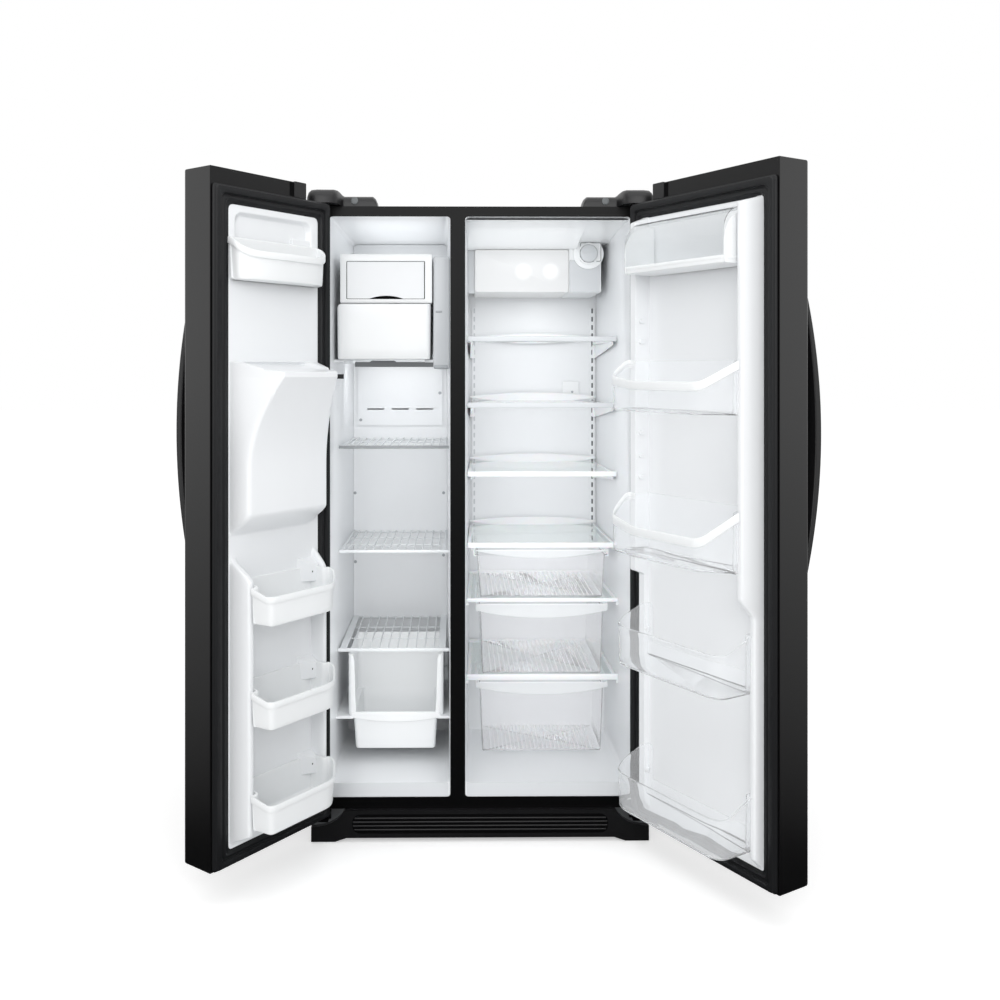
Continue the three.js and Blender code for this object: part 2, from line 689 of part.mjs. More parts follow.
function machineCover() {
  const half = half_width - machine.cover_side - seat;
  const z = [deck_top + seat, machine.roof - seat];
  const y = [cabinet.depth - cabinet.skin, cabinet.depth];
  const slots = Array.from({ length: machine.slots }, (_, i) => {
    const low = z[0] + ((i + 1) * (z[1] - z[0])) / (machine.slots + 1) - machine.slot / 2;
    return [-1, 1].map((side) => {
      const centre = (side * half) / 2;
      return block(
        grow([centre, centre], machine.slot_length / 2),
        grow(y, overrun),
        [low, low + machine.slot],
      );
    });
  });
  return cut(block([-half, half], y, z), ...slots.flat());
}
piece("machine_cover", machineCover(), black_enamel);

function compressorBody() {
  const { x, y, radius, low, high, dome, plate, mount, neck } = compressor;
  const shell = turned(
    [
      [0, low], [neck, low], [radius, low + dome], [radius, high - dome],
      [neck, high], [0, high],
    ],
    [0, 1, 0], [0, 0, 0], round_sides,
  ).rotate([90, 0, 0]).translate([x, y, 0]);
  const sole = block(
    grow([x, x], plate[0] / 2),
    grow([y, y], plate[1] / 2),
    [low - plate[2], low + plate[2]],
  );
  const mounts = [-1, 1].flatMap((sx) =>
    [-1, 1].map((sy) => {
      const [px, py] = [x + sx * (plate[0] / 2 - mount), y + sy * (plate[1] / 2 - mount)];
      return rod([px, py, deck_top + seat], [px, py, low], mount);
    }),
  );
  return join(shell, sole, ...mounts);
}
piece("compressor", compressorBody(), motor_black);

// Rows of tubes between two end plates.
function tubeBank(x, y, z, plate, radius, rows, columns) {
  const plates = [[x[0], x[0] + plate], [x[1] - plate, x[1]]].map((band) => block(band, y, z));
  const place = (span, i, count) => span[0] + ((i + 0.5) * (span[1] - span[0])) / count;
  const tubes = [];
  for (let row = 0; row < rows; row++) {
    for (let column = 0; column < columns; column++) {
      const [ty, tz] = [place(y, row, rows), place(z, column, columns)];
      tubes.push(rod([x[0], ty, tz], [x[1], ty, tz], radius));
    }
  }
  return join(...plates, ...tubes);
}
const condenser_z = [deck_top + seat, deck_top + seat + condenser.height];
piece(
  "condenser_coil",
  tubeBank(
    condenser.x,
    condenser.y,
    condenser_z,
    condenser.plate,
    condenser.tube,
    condenser.rows,
    condenser.columns,
  ),
  copper,
);

// A fan on a shaft: blades are flat plates turned by their pitch.
function fan({ radius, hub, width, shaft, blades, blade, pitch }) {
  const core = cut(
    rod([-width / 2, 0, 0], [width / 2, 0, 0], hub, round_sides),
    rod([-width, 0, 0], [width, 0, 0], shaft + seat, round_sides),
  );
  const paddles = Array.from({ length: blades }, (_, i) =>
    block([-blade / 2, blade / 2], grow([0, 0], hub), [hub - blade, radius])
      .rotate([0, 0, pitch])
      .rotate([(i * 360) / blades, 0, 0]),
  );
  return join(core, ...paddles);
}
piece(
  "condenser_fan",
  fan(cooling_fan).translate([cooling_fan.x, cooling_fan.y, cooling_fan.z]),
  black_plastic,
);

// Freezer fittings

const hump_top = machine.roof + liner.wall;
const evaporator_x = grow(walls(freezer, evaporator.y[1]), -evaporator.inset);
const evaporator_z = [hump_top + seat, hump_top + seat + evaporator.height];
piece(
  "evaporator_coil",
  tubeBank(
    evaporator_x,
    evaporator.y,
    evaporator_z,
    evaporator.plate,
    evaporator.tube,
    evaporator.rows,
    evaporator.columns,
  ),
  galvanised,
);

const freezer_middle = middle(freezer.x);
const cover_back = back_cover.front + back_cover.thick;

function evaporatorCover() {
  const x = grow(walls(freezer, cover_back), -seat);
  const z = [hump_top + seat, opening_z[1] - liner.ceiling_drop - seat];
  const plate = along_y(ring(x, z, liner.corner), [back_cover.front, cover_back]);
  const field_x = grow(x, -back_cover.field_inset);
  const field = block(field_x, [back_cover.front - back_cover.raised, cover_back], back_cover.field_z);
  const step = back_cover.slot_length + back_cover.slot_gap;
  const slots = [-1, 0, 1].map((i) => {
    const centre = middle(field_x) + i * step;
    return block(
      grow([centre, centre], back_cover.slot_length / 2),
      [back_cover.front - back_cover.raised - overrun, cover_back + overrun],
      grow([back_cover.slot_z, back_cover.slot_z], back_cover.slot / 2),
    );
  });
  const at = (y) => [freezer_middle, y, air_fan.z];
  const motor = rod(
    at(cover_back - back_cover.thick / 2),
    at(cover_back + air_fan.motor_long),
    air_fan.motor,
    round_sides,
  );
  const shaft_end = cover_back + air_fan.motor_long + play + air_fan.width;
  return join(
    cut(join(plate, field), ...slots),
    motor,
    rod(at(cover_back), at(shaft_end), air_fan.shaft, round_sides),
  );
}
piece("evaporator_cover", evaporatorCover(), white_plastic);
piece(
  "evaporator_fan",
  fan(air_fan).rotate([0, 0, 90]).translate([
    freezer_middle, cover_back + air_fan.motor_long + play + air_fan.width / 2, air_fan.z,
  ]),
  black_plastic,
);

function iceMakerCover() {
  const { x, front, wall, cover_z, window_x, window_z } = ice;
  const y = [front, back_cover.front - seat];
  const hollow = block(
    grow(x, -wall),
    [front + wall, y[1] + overrun],
    [cover_z[0] - overrun, cover_z[1] - wall],
  );
  const window = block(window_x, [front - overrun, front + wall + overrun], window_z);
  return cut(block(x, y, cover_z), hollow, window);
}
piece("ice_maker_cover", iceMakerCover(), white_plastic);
piece(
  "ice_maker_flap",
  block(grow(ice.window_x, -play), [ice.front, ice.front + ice.wall], grow(ice.window_z, -play)),
  white_plastic,
);

function iceBin() {
  const outline = ring(ice.bin_x, ice.bin_y, ice.bin_radius);
  return tub(outline, ice.bin_z[0], ice.bin_z[1], ice.bin_wall, ice.bin_taper);
}
piece("ice_bin", iceBin(), white_plastic);

// The duct beside the ice maker carries one side of the ice bin on a ledge.
function lightDuct() {
  const { front, x, z, wall } = light_duct;
  const back = back_cover.front - back_cover.raised - seat;
  const shape = (y, in_x, in_z) => upright(
    rectangle([x + in_x, walls(freezer, y)[1] - seat + in_x], grow(z, -in_z)),
    y,
  );
  const outer = loft([shape(front, 0, 0), shape(back, 0, 0)]);
  const hollow = loft([shape(front + wall, wall, wall), shape(back + overrun, wall, wall)]);
  const ledge = block(
    [x - ice.shelf_lip, x + wall / 2],
    ice_ledge_y,
    [ice_ledge_top - liner.rib_thick, ice_ledge_top],
  );
  return cut(join(outer, ledge), hollow);
}
piece("freezer_light_cover", lightDuct(), grey_plastic);

// A shelf of wires between a front trim and a back wire, reaching from wall to wall.
function wireShelf(top, front, wires, trim, trim_deep, side, wire) {
  const back = back_cover.front - seat;
  const low = top - wire;
  const bar = (y, z) => block(grow(walls(freezer, y[1]), -seat), y, z);
  const trim_bar = bar([front, front + trim_deep], [top - trim, top]);
  const back_bar = bar([back - wire, back], [low - wire, low]);
  const x = grow(walls(freezer, back), -seat);
  const rails = [[x[0], x[0] + side], [x[1] - side, x[1]]].map(
    (band) => block(band, [front, back], [low, top]),
  );
  const inside = [x[0] + side, x[1] - side];
  const lengths = Array.from({ length: wires }, (_, i) => {
    const centre = inside[0] + ((i + 0.5) * (inside[1] - inside[0])) / wires;
    return block(grow([centre, centre], wire / 2), [front, back], [low, top]);
  });
  const cross = cross_shares.map((share) => {
    const y = front + share * (back - front);
    return block(x, [y - wire / 2, y + wire / 2], [low - wire, low]);
  });
  return join(trim_bar, back_bar, ...rails, ...lengths, ...cross);
}
wire_shelf.z.forEach((top, i) => {
  const { front, wires, trim, trim_deep, side, wire } = wire_shelf;
  piece(
    `freezer_shelf_${["upper", "lower"][i]}`,
    wireShelf(top, front, wires, trim, trim_deep, side, wire),
    coated_wire,
  );
});
piece(
  "basket_shelf",
  wireShelf(
    basket_shelf.z, basket_shelf.front, basket_shelf.wires, basket_shelf.trim, basket_shelf.trim_deep,
    basket_shelf.rail, basket_shelf.wire,
  ),
  coated_wire,
);

function freezerBasket() {
  const { y, wall, top, low, wing_z, wing, body, taper, radius, front_top, front_post } = basket;
  const lower = ring(body, y, radius);
  const upper = ring(wing, y, radius);
  const outer = join(
    loft([level(inset(lower, taper), low), level(lower, wing_z + seat + wall)]),
    loft([level(upper, wing_z + seat), level(upper, top)]),
  );
  const inner = join(
    loft([level(inset(lower, taper + wall), low + wall), level(inset(lower, wall), wing_z + 2 * wall)]),
    loft([level(inset(upper, wall), wing_z + seat + wall), level(inset(upper, wall), top + overrun)]),
  );
  const scoop = block(grow(wing, -front_post), [y[0] - overrun, y[0] + radius], [front_top, top + overrun]);
  return cut(outer, inner, scoop);
}
piece("freezer_basket", freezerBasket(), white_plastic);

// Fresh food fittings

function controlHousing() {
  const { x, front, low, wall } = housing;
  const z = [low, opening_z[1] - liner.ceiling_drop - seat];
  const y = [front, fresh.depth - track.proud - seat];
  const hollow = block(grow(x, -wall), [front + wall, y[1] - wall], [z[0] + wall, z[1] + overrun]);
  const at = (depth) => [filter.x, depth, filter.z];
  const bore = rod(at(front - overrun), at(front + wall + overrun), filter.radius + play, round_sides);
  return cut(block(x, y, z), hollow, bore);
}
piece("control_housing", controlHousing(), white_plastic);

function waterFilter() {
  const { x, z, radius, knob, knob_long, back, grip, grip_out } = filter;
  const face = housing.front - seat;
  const at = (y) => [x, y, z];
  return join(
    rod(at(face), at(back), radius, round_sides),
    rod(at(face - knob_long), at(face), knob, round_sides),
    block(grow([x, x], knob - grip / 2), [face - knob_long - grip_out, face], grow([z, z], grip / 2)),
  );
}
piece("water_filter", waterFilter(), white_plastic);

// A glass plate in a frame on two brackets that reach back to the tracks.
function glassShelf(top, hanging) {
  const {
    clear, front, back, glass, frame: rail, trim, trim_deep, side, bracket, bracket_high, bracket_low,
  } = glass_shelf;
  const low = top - trim;
  const at = (y, by) => grow(walls(fresh, y), -clear - by);
  const plan = (y, by) => {
    const [near, far] = [at(y[0], by), at(y[1], by)];
    return [[near[0], y[0]], [near[1], y[0]], [far[1], y[1]], [far[0], y[1]]];
  };
  const rim = cut(
    standing(plan([front, back], 0), [low, low + rail]),
    standing(plan([front + overrun, back - overrun], side), grow([low, low + rail], overrun)),
  );
  const plate = standing(plan([front, back], side / 2), [low + glass, low + 2 * glass]);
  const trims = [
    [front, front + trim_deep],
    [back - trim_deep, back],
  ].map((y) => standing(plan(y, 0), [low, top]));
  const end = fresh.depth - track.proud - seat;
  const high = low + glass;
  const arm = [
    [front + trim_deep, high],
    [front + trim_deep, low - bracket_low],
    [back, low - bracket_high],
    [back, high],
  ];
  const arms = track.x.map((centre, i) => {
    const outer = i ? at(back, 0)[1] - bracket : at(back, 0)[0];
    const claw_x = [Math.min(outer, centre), Math.max(outer + bracket, centre)];
    const claw = block(claw_x, [back - bracket, end], [low - bracket_high, high]);
    return join(along_x(arm, [outer, outer + bracket]), claw);
  });
  return join(plate, rim, ...trims, ...arms, ...hanging);
}

// Rails that hang under a shelf and carry a drawer by its flange.
function hangingRunners(drawn, top) {
  const { thick, foot: reach, foot_thick, start } = runner;
  const flange = grow(drawn.x, drawer.rim);
  const y = [drawn.y[0] + start, Math.min(drawn.y[1], crisper_frame.back - start)];
  return [0, 1].flatMap((side) => {
    const out = side ? 1 : -1;
    const face = flange[side] + out * play;
    const plate = [face, face + out * thick].sort((a, b) => a - b);
    const ledge = [face - out * (reach - play), face + out * thick].sort((a, b) => a - b);
    const carried = drawn.room[1] - drawer.rim_drop - seat;
    return [block(plate, y, [carried - foot_thick, top]), block(ledge, y, [carried - foot_thick, carried])];
  });
}

["shelf_upper", "shelf_middle", "shelf_lower"].forEach((name, i) => {
  piece(name, glassShelf(glass_shelf.z[i], []), shelf_glass);
});
const deli_low = deli_shelf.z - glass_shelf.trim + glass_shelf.glass;
piece("deli_shelf", glassShelf(deli_shelf.z, hangingRunners(drawers.deli_drawer, deli_low)), shelf_glass);

function crisperShelf([low, high], drawn) {
  const { front, back, plate, trim_deep } = crisper_frame;
  const [near, far] = [grow(walls(fresh, front), -seat), grow(walls(fresh, back), -seat)];
  const inner_far = [Math.max(near[0], far[0]), Math.min(near[1], far[1])];
  const deck = standing(
    [[near[0], front], [near[1], front], [far[1], back], [far[0], back]],
    [low, low + plate],
  );
  const lip = block(inner_far, [front, front + trim_deep], [low, high]);
  return join(deck, lip, ...hangingRunners(drawn, low + plate / 2));
}
piece("crisper_shelf_upper", crisperShelf(crisper_frame.z[0], drawers.crisper_upper), shelf_glass);
piece("crisper_shelf_lower", crisperShelf(crisper_frame.z[1], drawers.crisper_lower), shelf_glass);

function pullDrawer({ x, y, lip, room: [over, under] }) {
  const { wall, rim, rim_thick, rim_drop, lip_thick, lip_drop, taper, radius, lift } = drawer;
  const rim_z = under - rim_drop;
  const body = tub(ring(x, y, radius), over + lift, rim_z + rim_thick, wall, taper);
  const flange_y = [y[0] + radius, y[1] - radius];
  const flange = cut(
    block(grow(x, rim), flange_y, [rim_z, rim_z + rim_thick]),
    block(grow(x, -wall), grow(flange_y, overrun), grow([rim_z, rim_z + rim_thick], overrun)),
  );
  const front = block(
    drawer_front.x,
    [y[0] - lip_thick, y[0] + wall / 2],
    [under - lip_drop - lip, under - lip_drop],
  );
  return join(body, flange, front);
}
for (const [name, drawn] of Object.entries(drawers)) piece(name, pullDrawer(drawn), clear_plastic);

// Hinges: each side's pieces are made for the right side and mirrored for the left

const axis_x = half_width - door.axis_in;

function mirrored(made, side) {
  return side < 0 ? made.mirror([1, 0, 0]) : made;
}

function topHinge() {
  const { low_x, tall_x, side, low_high, tall_high, front, back, low_front, wall, slope: lean } = top_hinge;
  const z0 = cabinet.top + seat;
  const [low_top, tall_top] = [z0 + low_high, z0 + tall_high];
  const low_outline = (by, bottom, top) => [
    [low_x + by, bottom],
    [low_x + by, top - lean / 2],
    [low_x + by + lean / 2, top],
    [tall_x + lean, top],
    [tall_x + lean, bottom],
  ];
  const low_part = along_y(low_outline(0, z0, low_top), [low_front, back]);
  const tall_part = block([tall_x, side], [front, back], [z0, tall_top]);
  const low_hollow = along_y(
    low_outline(wall, z0 - overrun, low_top - wall),
    [low_front + wall, back - wall],
  );
  const tall_hollow = block(
    grow([tall_x, side], -wall),
    grow([front, back], -wall),
    [z0 - overrun, tall_top - wall],
  );
  const at = (z) => [axis_x, -door.axis_out, z];
  return join(
    cut(join(low_part, tall_part), low_hollow, tall_hollow),
    rod(at(z0), at(tall_top - wall / 2), pin.post, round_sides),
    rod(at(notch_floor - pin.into), at(z0 + wall), pin.radius, round_sides),
  );
}

function bottomHinge() {
  const { across, front, plate, leg, leg_thick, top } = bottom_hinge;
  const x = [half_width - cabinet.skin - across, half_width - cabinet.skin];
  const at = (z) => [axis_x, -door.axis_out, z];
  return join(
    block(x, [front, frame.thick], [top - plate, top]),
    block(x, [frame.thick - leg_thick, frame.thick], [top - leg, top]),
    rod(at(top - plate), at(door.low - seat), pin.collar, round_sides),
    rod(at(top), at(door.low + pin.into), pin.radius, round_sides),
  );
}
for (const [name, side] of [["left", -1], ["right", 1]]) {
  piece(`top_hinge_${name}`, mirrored(topHinge(), side), black_plastic);
  piece(`bottom_hinge_${name}`, mirrored(bottomHinge(), side), black_enamel);
}

// Door leaves

const edge_of = (leaf) => leaf.width - door.axis_in;
const panel_back = door.inner + seat; // the lining lies on the shell's inner rim
const lining_face = panel_back + door.sheet;

function doorShell(leaf, holes) {
  const { outer, inner, skin, corner, rim, notch, axis_in } = door;
  const [low, top] = door_z;
  const plan = (by) => {
    const x = [-axis_in + by, edge_of(leaf) - by];
    const r = corner - by;
    const left = [];
    const right = [];
    for (let step = 0; step <= corner_steps; step++) {
      const angle = (step / corner_steps) * (Math.PI / 2);
      left.push([x[0] + r - r * Math.sin(angle), outer + by + r - r * Math.cos(angle)]);
      right.push([x[1] - r + r * Math.cos(angle), outer + by + r - r * Math.sin(angle)]);
    }
    return [...right.reverse(), [x[1], inner - by], [x[0], inner - by], ...left.reverse()];
  };
  const cutout = (by) => block(
    [-axis_in - overrun, notch + by],
    grow([outer, inner], overrun),
    [notch_floor - by, top + overrun],
  );
  const whole = cut(standing(plan(0), [low, top]), cutout(0));
  const hollow = cut(standing(plan(skin), [low + skin, top - skin]), cutout(skin));
  const back = cut(
    block(
      [-axis_in + rim, edge_of(leaf) - rim],
      [inner - skin - overrun, inner + overrun],
      [low + rim, top - rim],
    ),
    cutout(rim),
  );
  const bores = [[low - overrun, low + overrun], [notch_floor - overrun, notch_floor + overrun]].map((z) =>
    rod([0, 0, z[0]], [0, 0, z[1]], pin.radius + seat, round_sides),
  );
  return cut(whole, hollow, back, ...bores, ...holes);
}

// A raised form of a lining and the hollow behind it. Its low end clears the cabinet's sill.
function raisedForm({ x, y, z, slope: ramp }) {
  const side = (by) => {
    const root = panel_back - (by ? overrun : 0);
    const low = z[0] + by;
    const toe = [
      [panel_back + form_toe, low + form_toe],
      [y - by, low + form_toe],
    ];
    const sill = low < floor_z ? toe : [[y - by, low]];
    return [[root, low], ...sill, [y - by, z[1] - by - ramp], [root, z[1] - by]];
  };
  return [along_x(side(0), x), along_x(side(door.sheet), grow(x, -door.sheet))];
}

function bulgeForm() {
  const at = (part, y, by) => upright(rectangle(grow(part.x, -by), grow(part.z, -by)), y);
  const body = (by) => [
    at(bulge_rings.back, panel_back - (by ? overrun : 0), by),
    at(bulge_rings.front, bulge.depth - by, by),
  ];
  const nose = (by) => [
    at(bulge_rings.nose_back, bulge.nose_start, by),
    at(bulge_rings.nose, bulge.nose_depth - by, by),
  ];
  return [join(loft(body(0)), loft(nose(0))), join(loft(body(door.sheet)), loft(nose(door.sheet)))];
}

function doorLining(leaf, forms) {
  const x = [-door.axis_in + door.rim / 2, edge_of(leaf) - door.rim / 2];
  const sheet = block(
    x,
    [panel_back, lining_face],
    [seal.outer_z[0] + door.rim / 2, seal.outer_z[1] - door.rim / 2],
  );
  return cut(join(sheet, ...forms.map((form) => form[0])), ...forms.map((form) => form[1]));
}

function doorSeal(leaf) {
  const start = lining_face + seat;
  const hinge_edge = -door.axis_in + seal.hinge_in;
  const outer_x = [hinge_edge, edge_of(leaf) - seal.outer_in];
  const inner_x = [seal.hinge, edge_of(leaf) - leaf.liner_edge];
  const inner_z = [seal.low, seal.high];
  const base_y = [start, start + seal.base];
  const lip_y = [start, door.axis_out - seat];
  const lip_x = [hinge_edge + seal.lip_in, outer_x[1] - seal.lip_edge];
  const lip_z = grow(seal.outer_z, -seal.lip_edge);
  const band = (x, z, holes_x, holes_z, y) =>
    cut(
      along_y(ring(x, z, frame.corner), y),
      along_y(ring(holes_x, holes_z, frame.corner), grow(y, overrun)),
    );
  return join(
    band(outer_x, seal.outer_z, inner_x, inner_z, base_y),
    band(lip_x, lip_z, grow(lip_x, -seal.lip_width), grow(lip_z, -seal.lip_width), lip_y),
  );
}

// A bowed bar: the outer arc runs past the inner one, and both end on the door's face.
function doorHandle(leaf) {
  const { width, middle: centre, reach, bow, thick, foot: sole, steps } = handle;
  const face = door.outer - seat;
  const arc = (half, depth) =>
    Array.from({ length: steps + 1 }, (_, i) => {
      const share = (2 * i) / steps - 1;
      return [face - depth * (1 - share * share), centre + share * half];
    });
  const outline = [...arc(reach, bow), ...arc(reach - sole, bow - thick).reverse()];
  const end = edge_of(leaf) - leaf.handle_in;
  return along_x(outline, [end - width, end]);
}

// Bins and the dairy compartment

const shelf_back = lining_face + seat;

// A bin sits between the two dykes and swells over them, outline from the hinge side round.
function doorBin(forms, { z, rim, plan }) {
  const low = plan === "lower";
  const hinge = low ? forms.low_hinge_dyke : forms.hinge_dyke;
  const far = low ? forms.low_handle_dyke : forms.handle_dyke;
  const x = [hinge.x[1] + bin.clear, far.x[0] - bin.clear];
  const wide = [plan === "upper" ? hinge.x[0] + bin.taper : hinge.x[1], far.x[1] - bin.taper];
  const front = front_shares[plan].map(
    ([across, out]) => [wide[0] + across * (wide[1] - wide[0]), out * bin.reach],
  );
  const outline = [
    [x[0], shelf_back],
    [x[0], hinge.y + bin.clear],
    ...front,
    [wide[1], far.y + bin.clear],
    [x[1], far.y + bin.clear],
    [x[1], shelf_back],
  ];
  return tub(outline, z, slope([shelf_back, bin.reach], rim), bin.wall);
}

// The bin at the top of the freezer door has no dykes beside it and a bowed front.
function topBin({ z, rim, plan }) {
  const x = [freezer_forms.hinge_dyke.x[0], edge_of(freezer_door) - freezer_door.liner_edge - bin.clear];
  const front = front_shares[plan].map(
    ([across, out]) => [x[0] + across * (x[1] - x[0]), out * bin.top_reach],
  );
  return tub(
    [[x[0], shelf_back], ...front, [x[1], shelf_back]],
    z,
    slope([shelf_back, bin.top_reach], rim),
    bin.wall,
  );
}

// The quarter round of the dairy lid, moved inwards, as [y, z].
function lidArc(by) {
  const { depth, top, round, steps } = dairy;
  const r = round - by;
  return Array.from({ length: steps + 1 }, (_, i) => {
    const angle = (i / steps) * (Math.PI / 2);
    return [depth - round + r * Math.cos(angle), top - round + r * Math.sin(angle)];
  });
}

function dairyTray() {
  const { x, depth, z, wall, top, round, lid, cheek_out, cheek_drop } = dairy;
  const body = tub(rectangle(x, [shelf_back, depth]), z[0], z[1], wall);
  const under = top - 2 * lid;
  const side = [
    [shelf_back, z[0]],
    [depth, z[0]],
    [depth, top - round - lid],
    [cheek_out, top - cheek_drop],
    [shelf_back, under],
  ];
  const cheeks = [[x[0], x[0] + wall], [x[1] - wall, x[1]]].map((band) => along_x(side, band));
  return join(body, ...cheeks);
}

function dairyLid() {
  const { x, depth, lid, z, wall, top, pivot } = dairy;
  const low = z[1] + play;
  const outline = [
    [depth, low],
    ...lidArc(0),
    [pivot, top],
    [pivot, top - lid],
    ...lidArc(lid).reverse(),
    [depth - lid, low],
  ];
  return along_x(outline, grow(x, -wall - play));
}

// Dispenser in the freezer door's outer face

function dispenserHousing() {
  const {
    x, z, depth, wall, bezel, bezel_thick, panel_top, ear, ear_half, ear_drop, paddle_x, axle, axle_y,
  } = dispenser;
  const y = [door.outer - seat, door.outer + depth];
  const cup = cut(
    block(x, y, z),
    block(grow(x, -wall), [y[0] - overrun, y[1] - wall], grow(z, -wall)),
  );
  const rim = cut(
    block(grow(x, bezel), [y[0] - bezel_thick, y[0]], [z[0] - bezel, panel_top]),
    block(grow(x, -wall), [y[0] - bezel_thick - overrun, y[0] + overrun], grow(z, -wall)),
  );
  const axle_z = z[1] - ear_drop;
  const ears = [-1, 1].map((side) => {
    const near = side < 0 ? paddle_x[0] - play : paddle_x[1] + play;
    const band = [near, near + side * ear].sort((a, b) => a - b);
    return cut(
      block(band, grow([axle_y, axle_y], ear_half), [axle_z - ear_half, z[1] - wall / 2]),
      rod(
        [band[0] - overrun, axle_y, axle_z],
        [band[1] + overrun, axle_y, axle_z],
        axle + seat,
        round_sides,
      ),
    );
  });
  return join(cup, rim, ...ears);
}

function dispenserPaddle() {
  const { z, ear, ear_drop, paddle_x, paddle, paddle_long, axle, axle_y } = dispenser;
  const axle_z = z[1] - ear_drop;
  const end = ear + 2 * play;
  return join(
    rod([paddle_x[0] - end, axle_y, axle_z], [paddle_x[1] + end, axle_y, axle_z], axle, round_sides),
    block(paddle_x, grow([axle_y, axle_y], paddle / 2), [axle_z - paddle_long, axle_z]),
  );
}

// The two leaves

const dispenser_hole = block(
  grow(dispenser.x, seat), [door.outer - overrun, door.outer + overrun], grow(dispenser.z, seat),
);
piece("freezer_door_shell", doorShell(freezer_door, [dispenser_hole]), black_enamel, freezer_leaf);
piece(
  "freezer_door_liner",
  doorLining(freezer_door, [...Object.values(freezer_forms).map(raisedForm), bulgeForm()]),
  white_plastic,
  freezer_leaf,
);
piece("freezer_door_gasket", doorSeal(freezer_door), seal_rubber, freezer_leaf);
piece("freezer_door_handle", doorHandle(freezer_door), black_plastic, freezer_leaf);
piece("dispenser_housing", dispenserHousing(), black_plastic, freezer_leaf);
piece("dispenser_paddle", dispenserPaddle(), grey_plastic, freezer_leaf);
for (const [name, made] of Object.entries(freezer_bins)) {
  const tray = made.plan === "top" ? topBin(made) : doorBin(freezer_forms, made);
  piece(name, tray, white_plastic, freezer_leaf);
}

// The fresh food leaf is the mirror image of a freezer leaf of its own width.
const opposite = (made) => mirrored(made, -1);
piece("fresh_door_shell", opposite(doorShell(fresh_door, [])), black_enamel, fresh_leaf);
piece(
  "fresh_door_liner",
  opposite(doorLining(fresh_door, Object.values(fresh_forms).map(raisedForm))),
  white_plastic,
  fresh_leaf,
);
piece("fresh_door_gasket", opposite(doorSeal(fresh_door)), seal_rubber, fresh_leaf);
piece("fresh_door_handle", opposite(doorHandle(fresh_door)), black_plastic, fresh_leaf);
piece("dairy_tray", opposite(dairyTray()), clear_plastic, fresh_leaf);
piece("dairy_lid", opposite(dairyLid()), clear_plastic, fresh_leaf);
for (const [name, made] of Object.entries(fresh_bins)) {
  piece(name, opposite(doorBin(fresh_forms, made)), clear_plastic, fresh_leaf);
}

freezer_leaf.position.set(-axis_x, -door.axis_out, 0);
freezer_leaf.rotation.z = THREE.MathUtils.degToRad(freezer_door.angle);
fresh_leaf.position.set(axis_x, -door.axis_out, 0);
fresh_leaf.rotation.z = THREE.MathUtils.degToRad(fresh_door.angle);

// The origin is on the floor, in the middle of the area that the object covers.
refrigerator.updateMatrixWorld(true);
const bounds = new THREE.Box3().setFromObject(refrigerator, true);
const centre = bounds.getCenter(new THREE.Vector3());
refrigerator.position.set(-centre.x, -centre.y, -bounds.min.z);

export default refrigerator;
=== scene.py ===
# %% [markdown]
# # A side by side refrigerator, seen from the front with both doors open
#
# The freezer is at the left and the fresh food side at the right. The solids of the part come in
# as a fixed frame. This file dresses them: it makes the rounded, thin and clear pieces that plain
# solids can't show, and gives every surface the finish that the real one has.

# %% Load the solids
import math

import bmesh
import bpy
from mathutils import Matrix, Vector


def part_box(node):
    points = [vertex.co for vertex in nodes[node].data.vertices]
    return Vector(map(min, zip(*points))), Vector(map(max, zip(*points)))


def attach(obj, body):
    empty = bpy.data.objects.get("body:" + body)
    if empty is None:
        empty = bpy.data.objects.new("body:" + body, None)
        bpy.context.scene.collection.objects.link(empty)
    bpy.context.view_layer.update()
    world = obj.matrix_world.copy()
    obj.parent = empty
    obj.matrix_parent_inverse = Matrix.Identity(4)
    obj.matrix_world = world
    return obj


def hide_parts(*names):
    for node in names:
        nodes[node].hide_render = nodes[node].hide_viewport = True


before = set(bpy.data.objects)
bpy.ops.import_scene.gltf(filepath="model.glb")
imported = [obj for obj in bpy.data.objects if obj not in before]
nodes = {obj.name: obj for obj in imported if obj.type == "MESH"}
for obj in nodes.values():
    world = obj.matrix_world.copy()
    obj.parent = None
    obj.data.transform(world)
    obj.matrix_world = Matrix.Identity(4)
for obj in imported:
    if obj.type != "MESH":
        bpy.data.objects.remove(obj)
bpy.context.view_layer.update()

# %% [markdown]
# ## Three ways to say where a point is
#
# The real sizes of a refrigerator are measured from its cabinet and from its hinges. So a piece of
# the cabinet is drawn in millimetres from the middle of the cabinet's face, and a piece of a door
# in millimetres from its hinge axis: across the door towards the handle, in towards the food, and
# up. Each way turns such a point into metres in the frame.

# %% Places
MM = 0.001
wrapper_low, wrapper_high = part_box("cabinet_wrapper")
CABINET_DEPTH = 700
origin_x = (wrapper_low[0] + wrapper_high[0]) / 2
origin_y = wrapper_high[1] - CABINET_DEPTH * MM
HINGE_ACROSS, HINGE_OUT = 434, 44
FREEZER_DOOR_ANGLE, FRESH_DOOR_ANGLE = math.radians(127.17), math.radians(120.89)


def in_cabinet(x, y, z):
    """Across, back from the face, and up."""
    return Vector((origin_x + x * MM, origin_y + y * MM, z * MM))


def on_door(side, angle):
    """The place of a point on a door that stands open by the angle."""
    def place(u, w, z):
        x = side * (HINGE_ACROSS - u * math.cos(angle) - w * math.sin(angle))
        y = -HINGE_OUT - u * math.sin(angle) + w * math.cos(angle)
        return in_cabinet(x, y, z)
    return place


on_freezer_door = on_door(-1, FREEZER_DOOR_ANGLE)
on_fresh_door = on_door(1, FRESH_DOOR_ANGLE)
print("face of the cabinet", in_cabinet(0, 0, 0))

